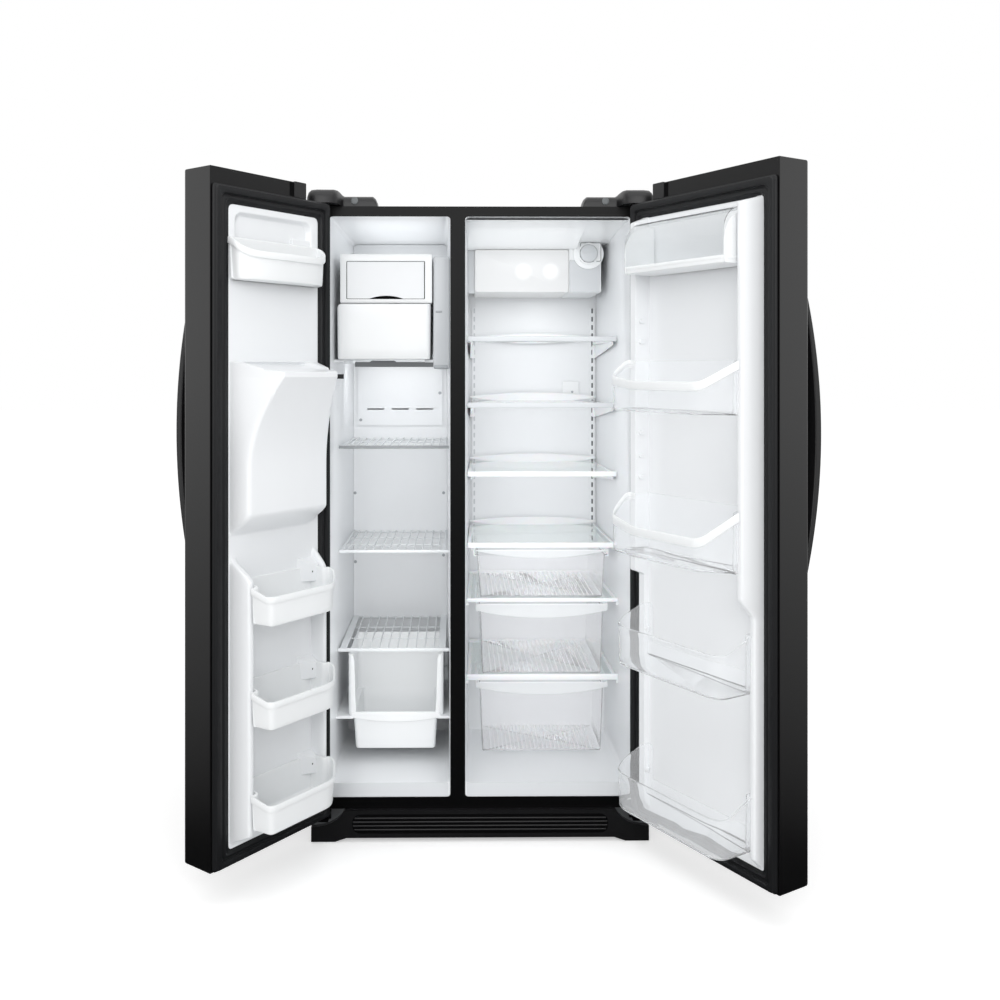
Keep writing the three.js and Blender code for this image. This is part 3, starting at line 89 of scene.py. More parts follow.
# %% [markdown]
# ## The camera
#
# The photograph is taken from eye height, close enough for the open doors to spread apart. A short
# lens and a level view keep every upright edge upright, and a shift of the lens frames the cabinet
# without tilting the camera.

# %% Camera


def add_object(name, data):
    made = bpy.data.objects.new(name, data)
    bpy.context.scene.collection.objects.link(made)
    return made


camera = add_object("camera", bpy.data.cameras.new("camera"))
bpy.context.scene.camera = camera
camera.location = (-0.08054, -2.84440, 1.26065)
camera.rotation_euler = (math.pi / 2, 0, math.radians(-0.576))
camera.data.sensor_width = 36
camera.data.lens = 36.68
camera.data.shift_x = 0.0327
camera.data.shift_y = -0.1285
camera.data.clip_start, camera.data.clip_end = 0.05, 100
print("camera lens", camera.data.lens, "mm")

# %% [markdown]
# ## Studio light
#
# A white room lights the object from all sides, and a large soft box above the camera reaches into
# the compartments. The room shows as plain white behind the object, in gloss and through glass too.

# %% Colours and nodes


def linear(code):
    """An sRGB hex colour as the linear numbers that a shader takes."""
    values = [int(code[i:i + 2], 16) / 255 for i in (1, 3, 5)]
    curve = [v / 12.92 if v <= 0.04045 else ((v + 0.055) / 1.055) ** 2.4 for v in values]
    return (*curve, 1.0)


def add_node(tree, kind, settings=None, links=None):
    """One node with its settings (a socket by name, or an attribute) and its incoming links."""
    node = tree.nodes.new(kind)
    for key, value in (settings or {}).items():
        if isinstance(key, str) and hasattr(node, key):
            setattr(node, key, value)
        else:
            node.inputs[key].default_value = value
    for key, source in (links or {}).items():
        tree.links.new(source, node.inputs[key])
    return node


def empty_tree(block):
    """Gives a material or world an empty node tree."""
    block.use_nodes = True
    block.node_tree.nodes.clear()
    return block.node_tree


# %% World
ROOM_LIGHT = 0.74
world = bpy.data.worlds.new("room")
bpy.context.scene.world = world
tree = empty_tree(world)
rays = add_node(tree, "ShaderNodeLightPath")
seen = add_node(
    tree, "ShaderNodeMath", {"operation": "MAXIMUM"},
    {0: rays.outputs["Is Camera Ray"], 1: rays.outputs["Is Transmission Ray"]},
)
shown = add_node(
    tree, "ShaderNodeMath", {"operation": "MAXIMUM"}, {0: seen.outputs[0], 1: rays.outputs["Is Glossy Ray"]},
)
level = add_node(
    tree, "ShaderNodeMapRange", {"To Min": ROOM_LIGHT, "To Max": 1.0}, {"Value": shown.outputs[0]},
)
air = add_node(tree, "ShaderNodeBackground", {"Color": linear("#FFFFFF")}, {"Strength": level.outputs[0]})
add_node(tree, "ShaderNodeOutputWorld", links={"Surface": air.outputs[0]})
bpy.context.scene.view_settings.view_transform = "Standard"
print("room light", ROOM_LIGHT)

# %% Soft boxes


def soft_box(name, place, aim, size, power):
    """A rectangular lamp that faces a point."""
    data = bpy.data.lights.new(name, "AREA")
    data.shape = "RECTANGLE"
    data.size, data.size_y = size
    data.energy = power
    lamp = add_object(name, data)
    lamp.location = place
    lamp.rotation_euler = (Vector(aim) - Vector(place)).to_track_quat("-Z", "Y").to_euler()
    print("lamp", name, power, "W")


soft_box("front_box", (-0.1, -3.6, 2.3), (0, 0.3, 0.9), (3.0, 2.0), 52)
soft_box("top_box", (0, -1.0, 3.4), (0, -0.1, 0.6), (2.6, 1.8), 14)

# %% Floor
floor_mesh = bpy.data.meshes.new("floor")
REACH = 30
floor_mesh.from_pydata(
    [(-REACH, -REACH, 0), (REACH, -REACH, 0), (REACH, REACH, 0), (-REACH, REACH, 0)], [], [(0, 1, 2, 3)],
)
floor = add_object("floor", floor_mesh)
paper = bpy.data.materials.new("white_seamless_paper")
tree = empty_tree(paper)
rays = add_node(tree, "ShaderNodeLightPath")
sheet_bsdf = add_node(tree, "ShaderNodeBsdfDiffuse", {"Color": linear("#F4F4F4")})
glow = add_node(tree, "ShaderNodeEmission", {"Color": linear("#FFFFFF"), "Strength": 0.4})
lit = add_node(tree, "ShaderNodeAddShader", links={0: sheet_bsdf.outputs[0], 1: glow.outputs[0]})
mixed = add_node(
    tree, "ShaderNodeMixShader",
    links={0: rays.outputs["Is Camera Ray"], 1: sheet_bsdf.outputs[0], 2: lit.outputs[0]},
)
add_node(tree, "ShaderNodeOutputMaterial", links={"Surface": mixed.outputs[0]})
floor.data.materials.append(paper)
print("floor", 2 * REACH, "m wide")

# %% [markdown]
# Gloss at the foot of a door mirrors the floor close by, which is in the object's own shade and much
# darker than the room. A card on the floor that only gloss can see stands for that: black near the
# object, paler with distance.

# %% Shade on the floor, for gloss alone
HALF_WIDTH = 0.66
card = add_object("floor_shade_card", floor_mesh.copy())
card.location = (0, 0, 0.0005)
for ray in ("camera", "diffuse", "transmission", "shadow", "volume_scatter"):
    setattr(card, "visible_" + ray, False)
shade = bpy.data.materials.new("floor_shade")
tree = empty_tree(shade)
place_on_floor = add_node(
    tree, "ShaderNodeSeparateXYZ", links={0: add_node(tree, "ShaderNodeTexCoord").outputs["Object"]},
)
from_middle = add_node(tree, "ShaderNodeMath", {"operation": "ABSOLUTE"}, {0: place_on_floor.outputs["X"]})
beside = add_node(
    tree, "ShaderNodeMath", {"operation": "SUBTRACT", 1: HALF_WIDTH}, {0: from_middle.outputs[0]},
)
kept = add_node(tree, "ShaderNodeMath", {"operation": "MAXIMUM", 1: 0.01}, {0: beside.outputs[0]})
decades = add_node(tree, "ShaderNodeMath", {"operation": "LOGARITHM", 1: 10.0}, {0: kept.outputs[0]})
grade = add_node(
    tree, "ShaderNodeMapRange", {"From Min": -0.35, "From Max": 1.4, "To Min": 0.0, "To Max": 0.9},
    {"Value": decades.outputs[0]},
)
mirror = add_node(tree, "ShaderNodeEmission", {"Color": linear("#FFFFFF")}, {"Strength": grade.outputs[0]})
add_node(tree, "ShaderNodeOutputMaterial", links={"Surface": mirror.outputs[0]})
card.data.materials.clear()
card.data.materials.append(shade)
print("shade starts", HALF_WIDTH, "m from the middle")

# %% [markdown]
# ## Finishes
#
# Each finish is named for the real material and the way its surface was made. A finish is one
# glossy shader. Noise at a real size, in millimetres, shifts its colour a little and lifts its
# surface a little, because no moulded, painted or drawn surface is perfectly even.

# %% One finish
BUMP_DISTANCE = 0.001


def finish(name, colour, roughness, grain_mm, lift=0.05, drift=0.03, settings=None):
    """A surface with its typical gloss, a fine lift and a slow drift in colour."""
    material = bpy.data.materials.new(name)
    tree = empty_tree(material)
    where = add_node(tree, "ShaderNodeTexCoord").outputs["Object"]
    cloud = add_node(tree, "ShaderNodeTexNoise", {"Scale": 1 / 0.35, "Detail": 3.0}, {"Vector": where})
    darker = [c * (1 - drift) for c in linear(colour)[:3]]
    tint = add_node(tree, "ShaderNodeMix", {"data_type": "RGBA"}, {"Factor": cloud.outputs["Fac"]})
    tint.inputs["A"].default_value = linear(colour)
    tint.inputs["B"].default_value = (*darker, 1)
    grain = add_node(
        tree, "ShaderNodeTexNoise", {"Scale": 1 / (grain_mm * MM), "Detail": 2.0}, {"Vector": where},
    )
    lifted = add_node(
        tree, "ShaderNodeBump", {"Strength": lift, "Distance": BUMP_DISTANCE},
        {"Height": grain.outputs["Fac"]},
    )
    shader = add_node(
        tree, "ShaderNodeBsdfPrincipled", {"Roughness": roughness, **(settings or {})},
        {"Base Color": tint.outputs["Result"], "Normal": lifted.outputs["Normal"]},
    )
    add_node(tree, "ShaderNodeOutputMaterial", links={"Surface": shader.outputs[0]})
    print("finish", name)
    return material


# %% [markdown]
# The steel of the cabinet and doors is sprayed and baked: black acrylic enamel, with the faint
# orange peel of a sprayed coat, a few millimetres across. It mirrors the room softly.

# %% Painted and plated metal
enamel = finish("black_acrylic_enamel_sprayed", "#0B0B0C", 0.3, 3.5, 0.06, 0.04, {"IOR": 1.6})
# The flange is the same baked enamel as the door. This copy with a weaker gloss is painted shade on the faces
# that look into the door.
flange_painted_shade_enamel = finish("black_enamel_flange_painted_shade", "#0D0D0E", 0.34, 3.5, 0.06, 0.04, {"IOR": 1.34})
# The front frame is the same baked enamel as the cabinet. This darker copy with a weaker gloss is painted
# shade.
face_painted_shade_enamel = finish("black_enamel_sheet_painted_shade", "#060607", 0.4, 3.5, 0.05, 0.04, {"IOR": 1.25})
zinc = finish("galvanised_steel_rolled", "#A4A7AA", 0.42, 6.0, 0.12, 0.18, {"Metallic": 1.0})
copper = finish("drawn_copper_tube", "#B9744A", 0.3, 2.0, 0.05, 0.12, {"Metallic": 1.0})
motor_paint = finish("black_motor_enamel_dipped", "#1D1D1F", 0.45, 2.5, 0.1, 0.06)

# %% [markdown]
# The linings are sheets of high impact polystyrene drawn over a mould while soft, so they are
# smooth, softly rounded and a little glossy. Bins and covers are moulded ABS, a touch cleaner in
# colour. Parts that take knocks have a fine spark grain, about half a millimetre.

# %% White plastics
lining = finish("vacuum_formed_polystyrene", "#EFF1F3", 0.3, 9.0, 0.04, 0.015, {"IOR": 1.55})
white_abs = finish("moulded_white_abs", "#F1F3F4", 0.3, 6.0, 0.03, 0.015, {"IOR": 1.53})
grained_abs = finish("grained_white_abs", "#EDEFF1", 0.45, 1.4, 0.1, 0.02, {"IOR": 1.53})
vinyl_wire = finish("white_vinyl_dipped_wire", "#E6E9EB", 0.38, 3.0, 0.05, 0.03)
grey_abs = finish("moulded_grey_abs", "#A9ADB1", 0.38, 1.4, 0.05, 0.03)

# %% Black plastics and rubber
black_abs = finish("moulded_black_abs", "#111113", 0.4, 1.4, 0.12, 0.05, {"IOR": 1.46})
seal_vinyl = finish("extruded_black_vinyl", "#17181A", 0.5, 4.0, 0.06, 0.06, {"IOR": 1.36})
# A dull, very dark black that is painted shade: it fills gaps, holes and recesses where shade falls, and dims
# the gloss of the bottom hinges.
painted_shade_black = finish("painted_shade_black_plastic", "#060607", 0.7, 1.4, 0.05, 0.05, {"IOR": 1.15})

# %% [markdown]
# Crisper drawers and the fresh food bins are clear polystyrene, poured into polished moulds. The
# shelves are tempered glass, a little green at the edge. Light passes them both, bent by their
# index, so walls and rims show as lines of light.

# %% Clear plastic and glass
lets_light_through = set()


def clear(name, colour, roughness, index, passes):
    """A see-through finish: a glossy body that scatters a small share of the light it passes."""
    material = finish(name, colour, roughness, 40.0, 0.03, 0.0, {"IOR": index, "Transmission Weight": passes})
    lets_light_through.add(material.name)
    return material


clear_styrene = clear("polished_clear_polystyrene", "#FBFCFD", 0.05, 1.11, 0.84)
drawer_styrene = clear("clear_drawer_polystyrene", "#FDFDFE", 0.05, 1.1, 0.88)
# The lid's grey tint is painted shade: it darkens what shows through the lid, as its shadow would.
lid_shaded_styrene = clear("clear_polystyrene_painted_shade", "#E3E5E6", 0.05, 1.2, 0.9)
tempered_glass = clear("tempered_soda_lime_glass", "#F4FAF8", 0.02, 1.25, 0.97)

# %% [markdown]
# Shelf frames and drawer fronts are polystyrene with a matt surface, that lets some light into it.
# The lamp shield is the same, and two soft bright spots show where its lamps are. They belong to a
# place on the shield, so they are measured from it.

# %% Frosted and glowing plastic
frosted_styrene = finish(
    "frosted_polystyrene", "#F4F6F8", 0.3, 6.0, 0.03, 0.015,
    {"IOR": 1.5, "Subsurface Weight": 0.2, "Subsurface Scale": 0.004},
)
drawer_lip = clear("frosted_clear_polystyrene", "#F2F4F5", 0.3, 1.12, 0.6)
# Pale and dark grey are the colour of some moulded parts, and painted shade on others: sill strips, shelf
# trims, track slots and the plate beside the lamp shield. Mid grey is painted shade only.
pale_grey_and_shade = finish("pale_grey_plastic_and_painted_shade", "#D0D3D6", 0.4, 1.4, 0.05, 0.02)
painted_shade_mid_grey = finish("mid_grey_painted_shade_plastic", "#8E9294", 0.4, 1.4, 0.05, 0.02)
dark_grey_and_shade = finish("dark_grey_plastic_and_painted_shade", "#5C6062", 0.42, 1.4, 0.06, 0.03)
milky_glow = finish("milky_lit_acrylic", "#DADBDC", 0.28, 8.0, 0.02, 0.01)
tree = milky_glow.node_tree
shader = next(node for node in tree.nodes if node.type == "BSDF_PRINCIPLED")
where = next(node for node in tree.nodes if node.type == "TEX_COORD").outputs["Object"]
lamp_spots = [in_cabinet(x, 350, z) for x, z in ((139, 1564), (223, 1564))]
fades = []
for spot in lamp_spots:
    away = add_node(tree, "ShaderNodeVectorMath", {"operation": "DISTANCE"}, {0: where})
    away.inputs[1].default_value = spot
    fades.append(
        add_node(
            tree, "ShaderNodeMapRange",
            {
                "interpolation_type": "SMOOTHERSTEP", "From Min": 0.004, "From Max": 0.034, "To Min": 0.32,
                "To Max": 0.08,
            },
            {"Value": away.outputs["Value"]},
        )
    )
glow_of = add_node(
    tree, "ShaderNodeMath", {"operation": "MAXIMUM"}, {0: fades[0].outputs[0], 1: fades[1].outputs[0]},
)
shader.inputs["Emission Color"].default_value = linear("#FFFDF8")
tree.links.new(glow_of.outputs[0], shader.inputs["Emission Strength"])

# %% A finish for every solid
finish_of_solid = [
    # The front frame takes the darker copy of the enamel, as painted shade.
    (enamel, ("cabinet_wrapper", "freezer_door_shell", "fresh_door_shell")), (face_painted_shade_enamel, ("front_frame",)),
    (
        lining,
        ("freezer_liner", "fresh_food_liner", "freezer_door_liner", "fresh_door_liner", "evaporator_cover"),
    ),
    (zinc, ("base_pan", "machine_cover", "evaporator_coil")), (copper, ("condenser_coil",)),
    (motor_paint, ("compressor",)),
    (
        black_abs,
        (
            "toe_grille", "condenser_fan", "front_foot_left", "front_foot_right", "rear_roller_left",
            "rear_roller_right", "top_hinge_left", "top_hinge_right", "freezer_door_handle",
            "fresh_door_handle", "dispenser_housing", "dispenser_paddle",
        ),
    ),
    # The bottom hinges are black plastic; their darker, duller finish is painted shade.
    (painted_shade_black, ("bottom_hinge_left", "bottom_hinge_right")),
    (seal_vinyl, ("freezer_door_gasket", "fresh_door_gasket")),
    (
        white_abs,
        (
            "ice_maker_cover", "ice_bin", "freezer_light_cover", "freezer_basket", "control_housing",
            "dairy_tray", "freezer_door_bin_1", "freezer_door_bin_2", "freezer_door_bin_3",
            "freezer_door_bin_4",
        ),
    ),
    (grained_abs, ("ice_maker_flap",)), (grey_abs, ("water_filter", "evaporator_fan")),
    (vinyl_wire, ("freezer_shelf_upper", "freezer_shelf_lower", "basket_shelf")),
    (tempered_glass, ("shelf_upper", "shelf_middle", "shelf_lower", "deli_shelf")),
    (
        clear_styrene,
        (
            "crisper_shelf_upper", "crisper_shelf_lower", "deli_drawer", "crisper_upper", "crisper_lower",
            "dairy_lid", "fresh_door_bin_1", "fresh_door_bin_2", "fresh_door_bin_3", "fresh_door_bin_4",
        ),
    ),
]
for material, names in finish_of_solid:
    for name in names:
        slots = nodes[name].data.materials
        slots.clear()
        slots.append(material)

# %% The record's slot of each finish
slot_of = {
    paint.name: slot
    for slot, paints in (
        ("black_enamel", (enamel, flange_painted_shade_enamel, face_painted_shade_enamel)),
        ("galvanised_steel", (zinc,)),
        ("copper", (copper,)),
        ("motor_black", (motor_paint,)),
        ("white_plastic", (lining, white_abs, grained_abs, milky_glow)),
        ("coated_wire", (vinyl_wire,)),
        ("grey_plastic", (grey_abs, pale_grey_and_shade, painted_shade_mid_grey, dark_grey_and_shade)),
        ("black_plastic", (black_abs, painted_shade_black)),
        ("seal_rubber", (seal_vinyl,)),
        ("clear_plastic", (clear_styrene, drawer_styrene, lid_shaded_styrene, frosted_styrene, drawer_lip)),
        ("shelf_glass", (tempered_glass,)),
    )
    for paint in paints
}
print("finishes", len(slot_of))

# %% [markdown]
# ## Shapes
#
# Nearly every moulded or folded piece here is a row of closed outlines joined by skin: a bin is its
# foot, wall, rim and inside, one outline each. So a few small helpers do most of the work: round
# the corners of an outline, move it inwards, and skin a row of them.

# %% Outlines
CORNER_STEPS = 6


def rounded(points, radii, steps=CORNER_STEPS):
    """The outline with each corner turned into a curve that starts a radius away from it."""
    curve = []
    count = len(points)
    for i, point in enumerate(points):
        here = Vector(point)
        before, after = Vector(points[i - 1]) - here, Vector(points[(i + 1) % count]) - here
        radius = radii[i] if isinstance(radii, (list, tuple)) else radii
        start = here + before.normalized() * min(radius, before.length * 0.48)
        end = here + after.normalized() * min(radius, after.length * 0.48)
        for k in range(steps + 1):
            t = k / steps
            curve.append(tuple(start * (1 - t) ** 2 + here * 2 * t * (1 - t) + end * t * t))
    return curve


def inset(points, by):
    """A closed flat outline moved inwards, corner by corner."""
    area = sum(a[0] * b[1] - b[0] * a[1] for a, b in zip(points, points[1:] + points[:1]))
    turn = 1 if area > 0 else -1
    moved = []
    for i, point in enumerate(points):
        a, b, c = Vector(points[i - 1]), Vector(point), Vector(points[(i + 1) % len(points)])
        first, second = (b - a).normalized(), (c - b).normalized()
        n1, n2 = Vector((-first.y, first.x)) * turn, Vector((-second.y, second.x)) * turn
        middle = n1 + n2
        middle = middle * (2 / max(middle.length_squared, 0.3))
        moved.append(tuple(b + middle * by))
    return moved


def dense(points, step):
    """A closed outline with extra points on its long sides."""
    filled = []
    for point, after in zip(points, points[1:] + points[:1]):
        count = max(int((Vector(after) - Vector(point)).length / step), 1)
        filled += [tuple(Vector(point).lerp(Vector(after), k / count)) for k in range(count)]
    return filled


def rectangle(x, y):
    return [(x[0], y[0]), (x[1], y[0]), (x[1], y[1]), (x[0], y[1])]


# %% Skins


def skin(rings, around=False):
    """Joins a row of outlines with the same number of points: with closed ends, or all the way around."""
    count = len(rings[0])
    points = [tuple(p) for ring in rings for p in ring]
    faces = []
    for r in range(len(rings) if around else len(rings) - 1):
        a, b = r * count, ((r + 1) % len(rings)) * count
        for i in range(count):
            j = (i + 1) % count
            faces.append((a + i, a + j, b + j, b + i))
    if not around:
        faces.append(tuple(range(count))[::-1])
        faces.append(tuple(range(len(points) - count, len(points))))
    return points, faces


def together(*shapes):
    points, faces = [], []
    for more_points, more_faces in shapes:
        start = len(points)
        points += more_points
        faces += [tuple(i + start for i in face) for face in more_faces]
    return points, faces


def bar(x, y, z):
    """A block between two corners."""
    return skin([[(a, b, height) for a, b in rectangle(x, y)] for height in z])


def slab(outline, span, lay):
    """A flat outline with a thickness: lay turns two flat numbers and a depth into a point."""
    return skin([[lay(a, b, depth) for a, b in outline] for depth in span])


def lay_y(a, b, depth):
    return (a, depth, b)


def lay_x(a, b, depth):
    return (depth, a, b)


def lay_z(a, b, depth):
    return (a, b, depth)


def disc(radius, sides):
    return [
        (radius * math.cos(2 * math.pi * i / sides), radius * math.sin(2 * math.pi * i / sides))
        for i in range(sides)
    ]


# %% [markdown]
# A piece is a shape put in its place, with smooth curves, crisp creases and a fine rounding on its
# hard edges. It moves with its body and stands for the plain solid of the same thing.

# %% Pieces
CREASE = math.radians(32)


def piece(name, shape, place, material, body, stands_for=None, edge=0.0, crease=CREASE, steps=2):
    """One object: its mesh, finish and soft edges, the body it rides on and the solid it stands for."""
    mesh = bpy.data.meshes.new(name)
    points, faces = shape
    mesh.from_pydata([place(*p) for p in points], [], faces)
    work = bmesh.new()
    work.from_mesh(mesh)
    bmesh.ops.remove_doubles(work, verts=work.verts, dist=2e-6)
    bmesh.ops.dissolve_degenerate(work, edges=work.edges, dist=1e-6)
    bmesh.ops.recalc_face_normals(work, faces=work.faces)
    work.to_mesh(mesh)
    work.free()
    for face in mesh.polygons:
        face.use_smooth = True
    mesh.set_sharp_from_angle(angle=crease)
    made = add_object(name, mesh)
    mesh.materials.append(material)
    if material.name in lets_light_through:
        made.visible_shadow = False
        made.visible_diffuse = False
    if edge:
        soften = made.modifiers.new("edge", "BEVEL")
        soften.width = edge * MM
        soften.segments = steps
        soften.limit_method = "ANGLE"
        soften.angle_limit = CREASE
        soften.harden_normals = True
    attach(made, body)
    if stands_for:
        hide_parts(stands_for)
    print(name, len(mesh.polygons), "faces, on", body)
    return made


def cabinet_piece(name, shape, material, stands_for=None, **more):
    """A piece that stays with the cabinet."""
    return piece(name, shape, in_cabinet, material, "cabinet", stands_for, **more)


# %% Soft steps


def ease(a, b, t):
    """From 0 at a to 1 at b, with a soft start and a soft end."""
    s = min(max((t - a) / (b - a), 0), 1)
    return s * s * (3 - 2 * s)


def mix(a, b, share):
    return a + (b - a) * share


# %% [markdown]
# ## Door shells
#
# A door is a folded steel tray filled with foam. Its upright edges are rolled to a radius of about
# a centimetre. Its back is open for the lining, and its top corner steps down to clear the hinge.
# One skin does it: from the cut for the dispenser, over the rolled edge, round to the inner rim.

# %% Door shells
DOOR_LOW, DOOR_TOP = 88.4, 1742.8
NOTCH, NOTCH_FLOOR = 66, 1703
OUTER, INNER = -69, 29
HINGE_EDGE = -20
ROLLED, RIM = 10, 20
PAN = 16


def door_shell(name, place, body, edge, window):
    """The window is the cut for a dispenser, as spans across and up and its depth, or None."""
    outline = [
        (HINGE_EDGE, DOOR_LOW), (edge, DOOR_LOW), (edge, DOOR_TOP), (NOTCH, DOOR_TOP), (NOTCH, NOTCH_FLOOR),
        (HINGE_EDGE, NOTCH_FLOOR),
    ]

    def ring(by, w):
        return [(u, w, z) for u, z in rounded(inset(outline, by), 3, 3)]

    rings = []
    if window:
        (left, right), (low, high), floor_w = window
        corners = [
            (left, low), (right, low), (right, high), (left + 20, high), (left + 15, high), (left, high),
        ]
        cut = rounded(corners, [4, 4, 4, 0.5, 0.5, 4], 3)
        rings += [[(u, w, z) for u, z in cut] for w in (floor_w, OUTER)]
    for k in range(7):
        turn = math.pi / 2 * k / 6
        rings.append(ring(ROLLED * (1 - math.sin(turn)), OUTER + ROLLED * (1 - math.cos(turn))))
    rings += [ring(0, INNER - 1.5), ring(0.5, INNER - 0.4), ring(1.5, INNER)]
    under_seal = [
        (0, 108), (edge - RIM, 108), (edge - RIM, 1690), (NOTCH, 1690), (NOTCH - 0.5, 1690), (0, 1690),
    ]
    rings += [[(u, w, z) for u, z in rounded(under_seal, 3, 3)] for w in (INNER, PAN)]
    made = piece(name, skin(rings), place, enamel, body, name.replace("_skin", "_shell"))
    # Faces that look into the door take the flange copy of the enamel: painted shade by the way they face.
    made.data.materials.append(flange_painted_shade_enamel)
    flange_normal = (place(0, 1, 0) - place(0, 0, 0)).normalized()
    for face in made.data.polygons:
        face.material_index = int(face.normal.dot(flange_normal) > 0.9)
    flat_faces = made.modifiers.new("flat_faces", "WEIGHTED_NORMAL")
    flat_faces.keep_sharp = True
    return made


FREEZER_EDGE, FRESH_EDGE = 376.3, 484.7
door_shell(
    "freezer_door_skin", on_freezer_door, "freezer_door", FREEZER_EDGE,
    ((94.7, 265.3), (904.7, 1235.3), 15.6),
)
door_shell("fresh_door_skin", on_fresh_door, "fresh_food_door", FRESH_EDGE, None)

# %% [markdown]
# ## Door linings
#
# A door lining is one sheet, drawn over a mould. Seen from the front it is a landscape: a flat panel
# with two ridges that hold the bins, and on the freezer door the bulge round the dispenser. So it is
# made as a landscape: a grid over the door, whose height at each point is that of the tallest
# form there. Lines are close together where a form rises steeply.

# %% Heights
PANEL = 31.8
SHEET = 2.5


def soft_max(a, b, soft):
    overlap = max(soft - abs(a - b), 0) / soft
    return max(a, b) + overlap * overlap * soft / 4


def soft_min(a, b, soft):
    return -soft_max(-a, -b, soft)


def shoulder(inward, top, draft=3, round_over=7):
    """The height of a ridge at a distance in from its foot: a steep side and a rounded edge."""
    if top <= 0 or inward <= 0:
        return 0
    curve = min(round_over, top)
    if inward < draft:
        return (top - curve) * inward / draft
    t = inward - draft
    return top if t >= curve else top - curve + math.sqrt(curve * curve - (curve - t) ** 2)


def ridge(u, across, top, draft=3, round_over=7):
    return min(
        shoulder(u - across[0], top, draft, round_over), shoulder(across[1] - u, top, draft, round_over),
    )


EDGE_LINES = (0, 1, 2, 3.2, 4.5, 6, 7.5, 9)


def lines(low, high, step, edges):
    """Grid lines a step apart, with more of them just inside and outside each edge."""
    count = math.ceil((high - low) / step)
    marks = {round(low + (high - low) * i / count, 2) for i in range(count + 1)}
    for edge in edges:
        marks |= {round(edge + side * d, 2) for d in EDGE_LINES for side in (-1, 1)}
    kept = [low]
    for mark in sorted(marks):
        if kept[-1] + 0.6 < mark < high - 0.6:
            kept.append(mark)
    return kept + [high]


# %% A drawn sheet


def drawn_sheet(height, across, up):
    """A closed sheet of even thickness whose face has the height of each point."""
    points, faces = [], []
    wide = len(across)
    for back in (0, SHEET):
        points += [(u, height(u, z) - back, z) for z in up for u in across]
    half = len(points) // 2
    for r in range(len(up) - 1):
        for i in range(wide - 1):
            a = r * wide + i
            face = (a, a + 1, a + wide + 1, a + wide)
            faces += [face, tuple(half + k for k in face[::-1])]
    border = [i for i in range(wide)] + [r * wide + wide - 1 for r in range(1, len(up))]
    border += [half - 1 - i for i in range(1, wide)] + [r * wide for r in range(len(up) - 2, 0, -1)]
    for a, b in zip(border, border[1:] + border[:1]):
        faces.append((b, a, a + half, b + half))
    return points, faces


# %% [markdown]
# The freezer door's lining has a shallow field at the top, the dispenser's bulge with its nose, and
# below it two ridges for three bins. The ridges begin in an S-curve under the bulge.

# %% Freezer door lining
LINING_Z = (100, 1692)
HINGE_RIDGE, HANDLE_RIDGE = (31, 52.2), (298.8, 322)
RIDGE_OUT, LOW_RIDGE_OUT = 100 - PANEL, 75 - PANEL
BULGE_TOP, TOP_SLOPE, DISH = 1286, 5.2, 42
NOSE_FOOT, NOSE_TIP, NOSE_OUT = 1030, 1247, 68
FIELD_SUNK = 11.5


def freezer_ridges(u, z):
    toe = ease(132, 176, z)
    handle_top = RIDGE_OUT * toe * (1 - ease(762, 822, z))
    hinge_top = LOW_RIDGE_OUT * toe * (1 - ease(752, 816, z))
    return max(ridge(u, HANDLE_RIDGE, handle_top), ridge(u, HINGE_RIDGE, hinge_top))


def dispenser_bulge(u, z):
    """The bulge: a flat front that curves out to a nose, whose sides lean in towards its tip."""
    out = min(max((z - NOSE_FOOT) / (NOSE_TIP - NOSE_FOOT), 0), 1) ** 1.9
    front = (RIDGE_OUT + NOSE_OUT * out) * ease(866, 926, z) ** 0.8
    handle_side = shoulder(HANDLE_RIDGE[1] - u, front, 2 + 46 * out, 12 - 6 * out)
    hinge_side = shoulder(u - HINGE_RIDGE[0], front, 30 + 30 * out, 5)
    top = max((BULGE_TOP - z) * TOP_SLOPE, 0)
    dish = DISH * ease(0, 26, min(u - 66, 294 - u)) * ease(1262, 1267, z) * (1 - ease(1279, 1285, z))
    return soft_min(min(handle_side, hinge_side), top, 8) - dish


def field_depth(u, z):
    """How far a point is inside the shallow field at the top, whose corners are round."""
    across, up = max(abs(u - 178) - 103, 0), max(abs(z - 1500) - 120, 0)
    return 25 - math.hypot(across, up)


def freezer_lining(u, z):
    field = FIELD_SUNK * ease(0, 11, field_depth(u, z)) * ease(1484, 1500, z)
    forms = soft_max(freezer_ridges(u, z), dispenser_bulge(u, z), 5)
    return PANEL - field + soft_max(forms, 0, 4) - 1


across = lines(-10, 366, 7, (31, 52.2, 63, 94, 274, 299, 320, 303))
up = lines(LINING_Z[0], LINING_Z[1], 10, (130, 770, 800, 870, 925, 1185, 1220, 1248, 1262, 1284, 1492, 1642))
piece(
    "freezer_door_lining", drawn_sheet(freezer_lining, across, up), on_freezer_door, lining, "freezer_door",
    "freezer_door_liner",
)
print("freezer door lining", len(across), "by", len(up))

# %% [markdown]
# The fresh food door's lining has two ridges as well. They stand tall beside the two upper bins and
# step down in an S-curve to the lower two, which reach out over them.

# %% Fresh food door lining


def fresh_lining(u, z):
    toe = ease(126, 160, z) * (1 - ease(1640, 1664, z))
    handle_top = (mix(60, 100, ease(696, 752, z)) - PANEL) * toe
    hinge_top = (mix(48, 78, ease(736, 752, z)) - PANEL) * toe
    field = min(u - 60, 408 - u, z - 1512, 1650 - z)
    forms = max(ridge(u, (417.8, 443), handle_top), ridge(u, (31, 55.2), hinge_top, 1, 2.5))
    return PANEL - 5 * ease(0, 12, field) + soft_max(forms, 0, 4) - 1


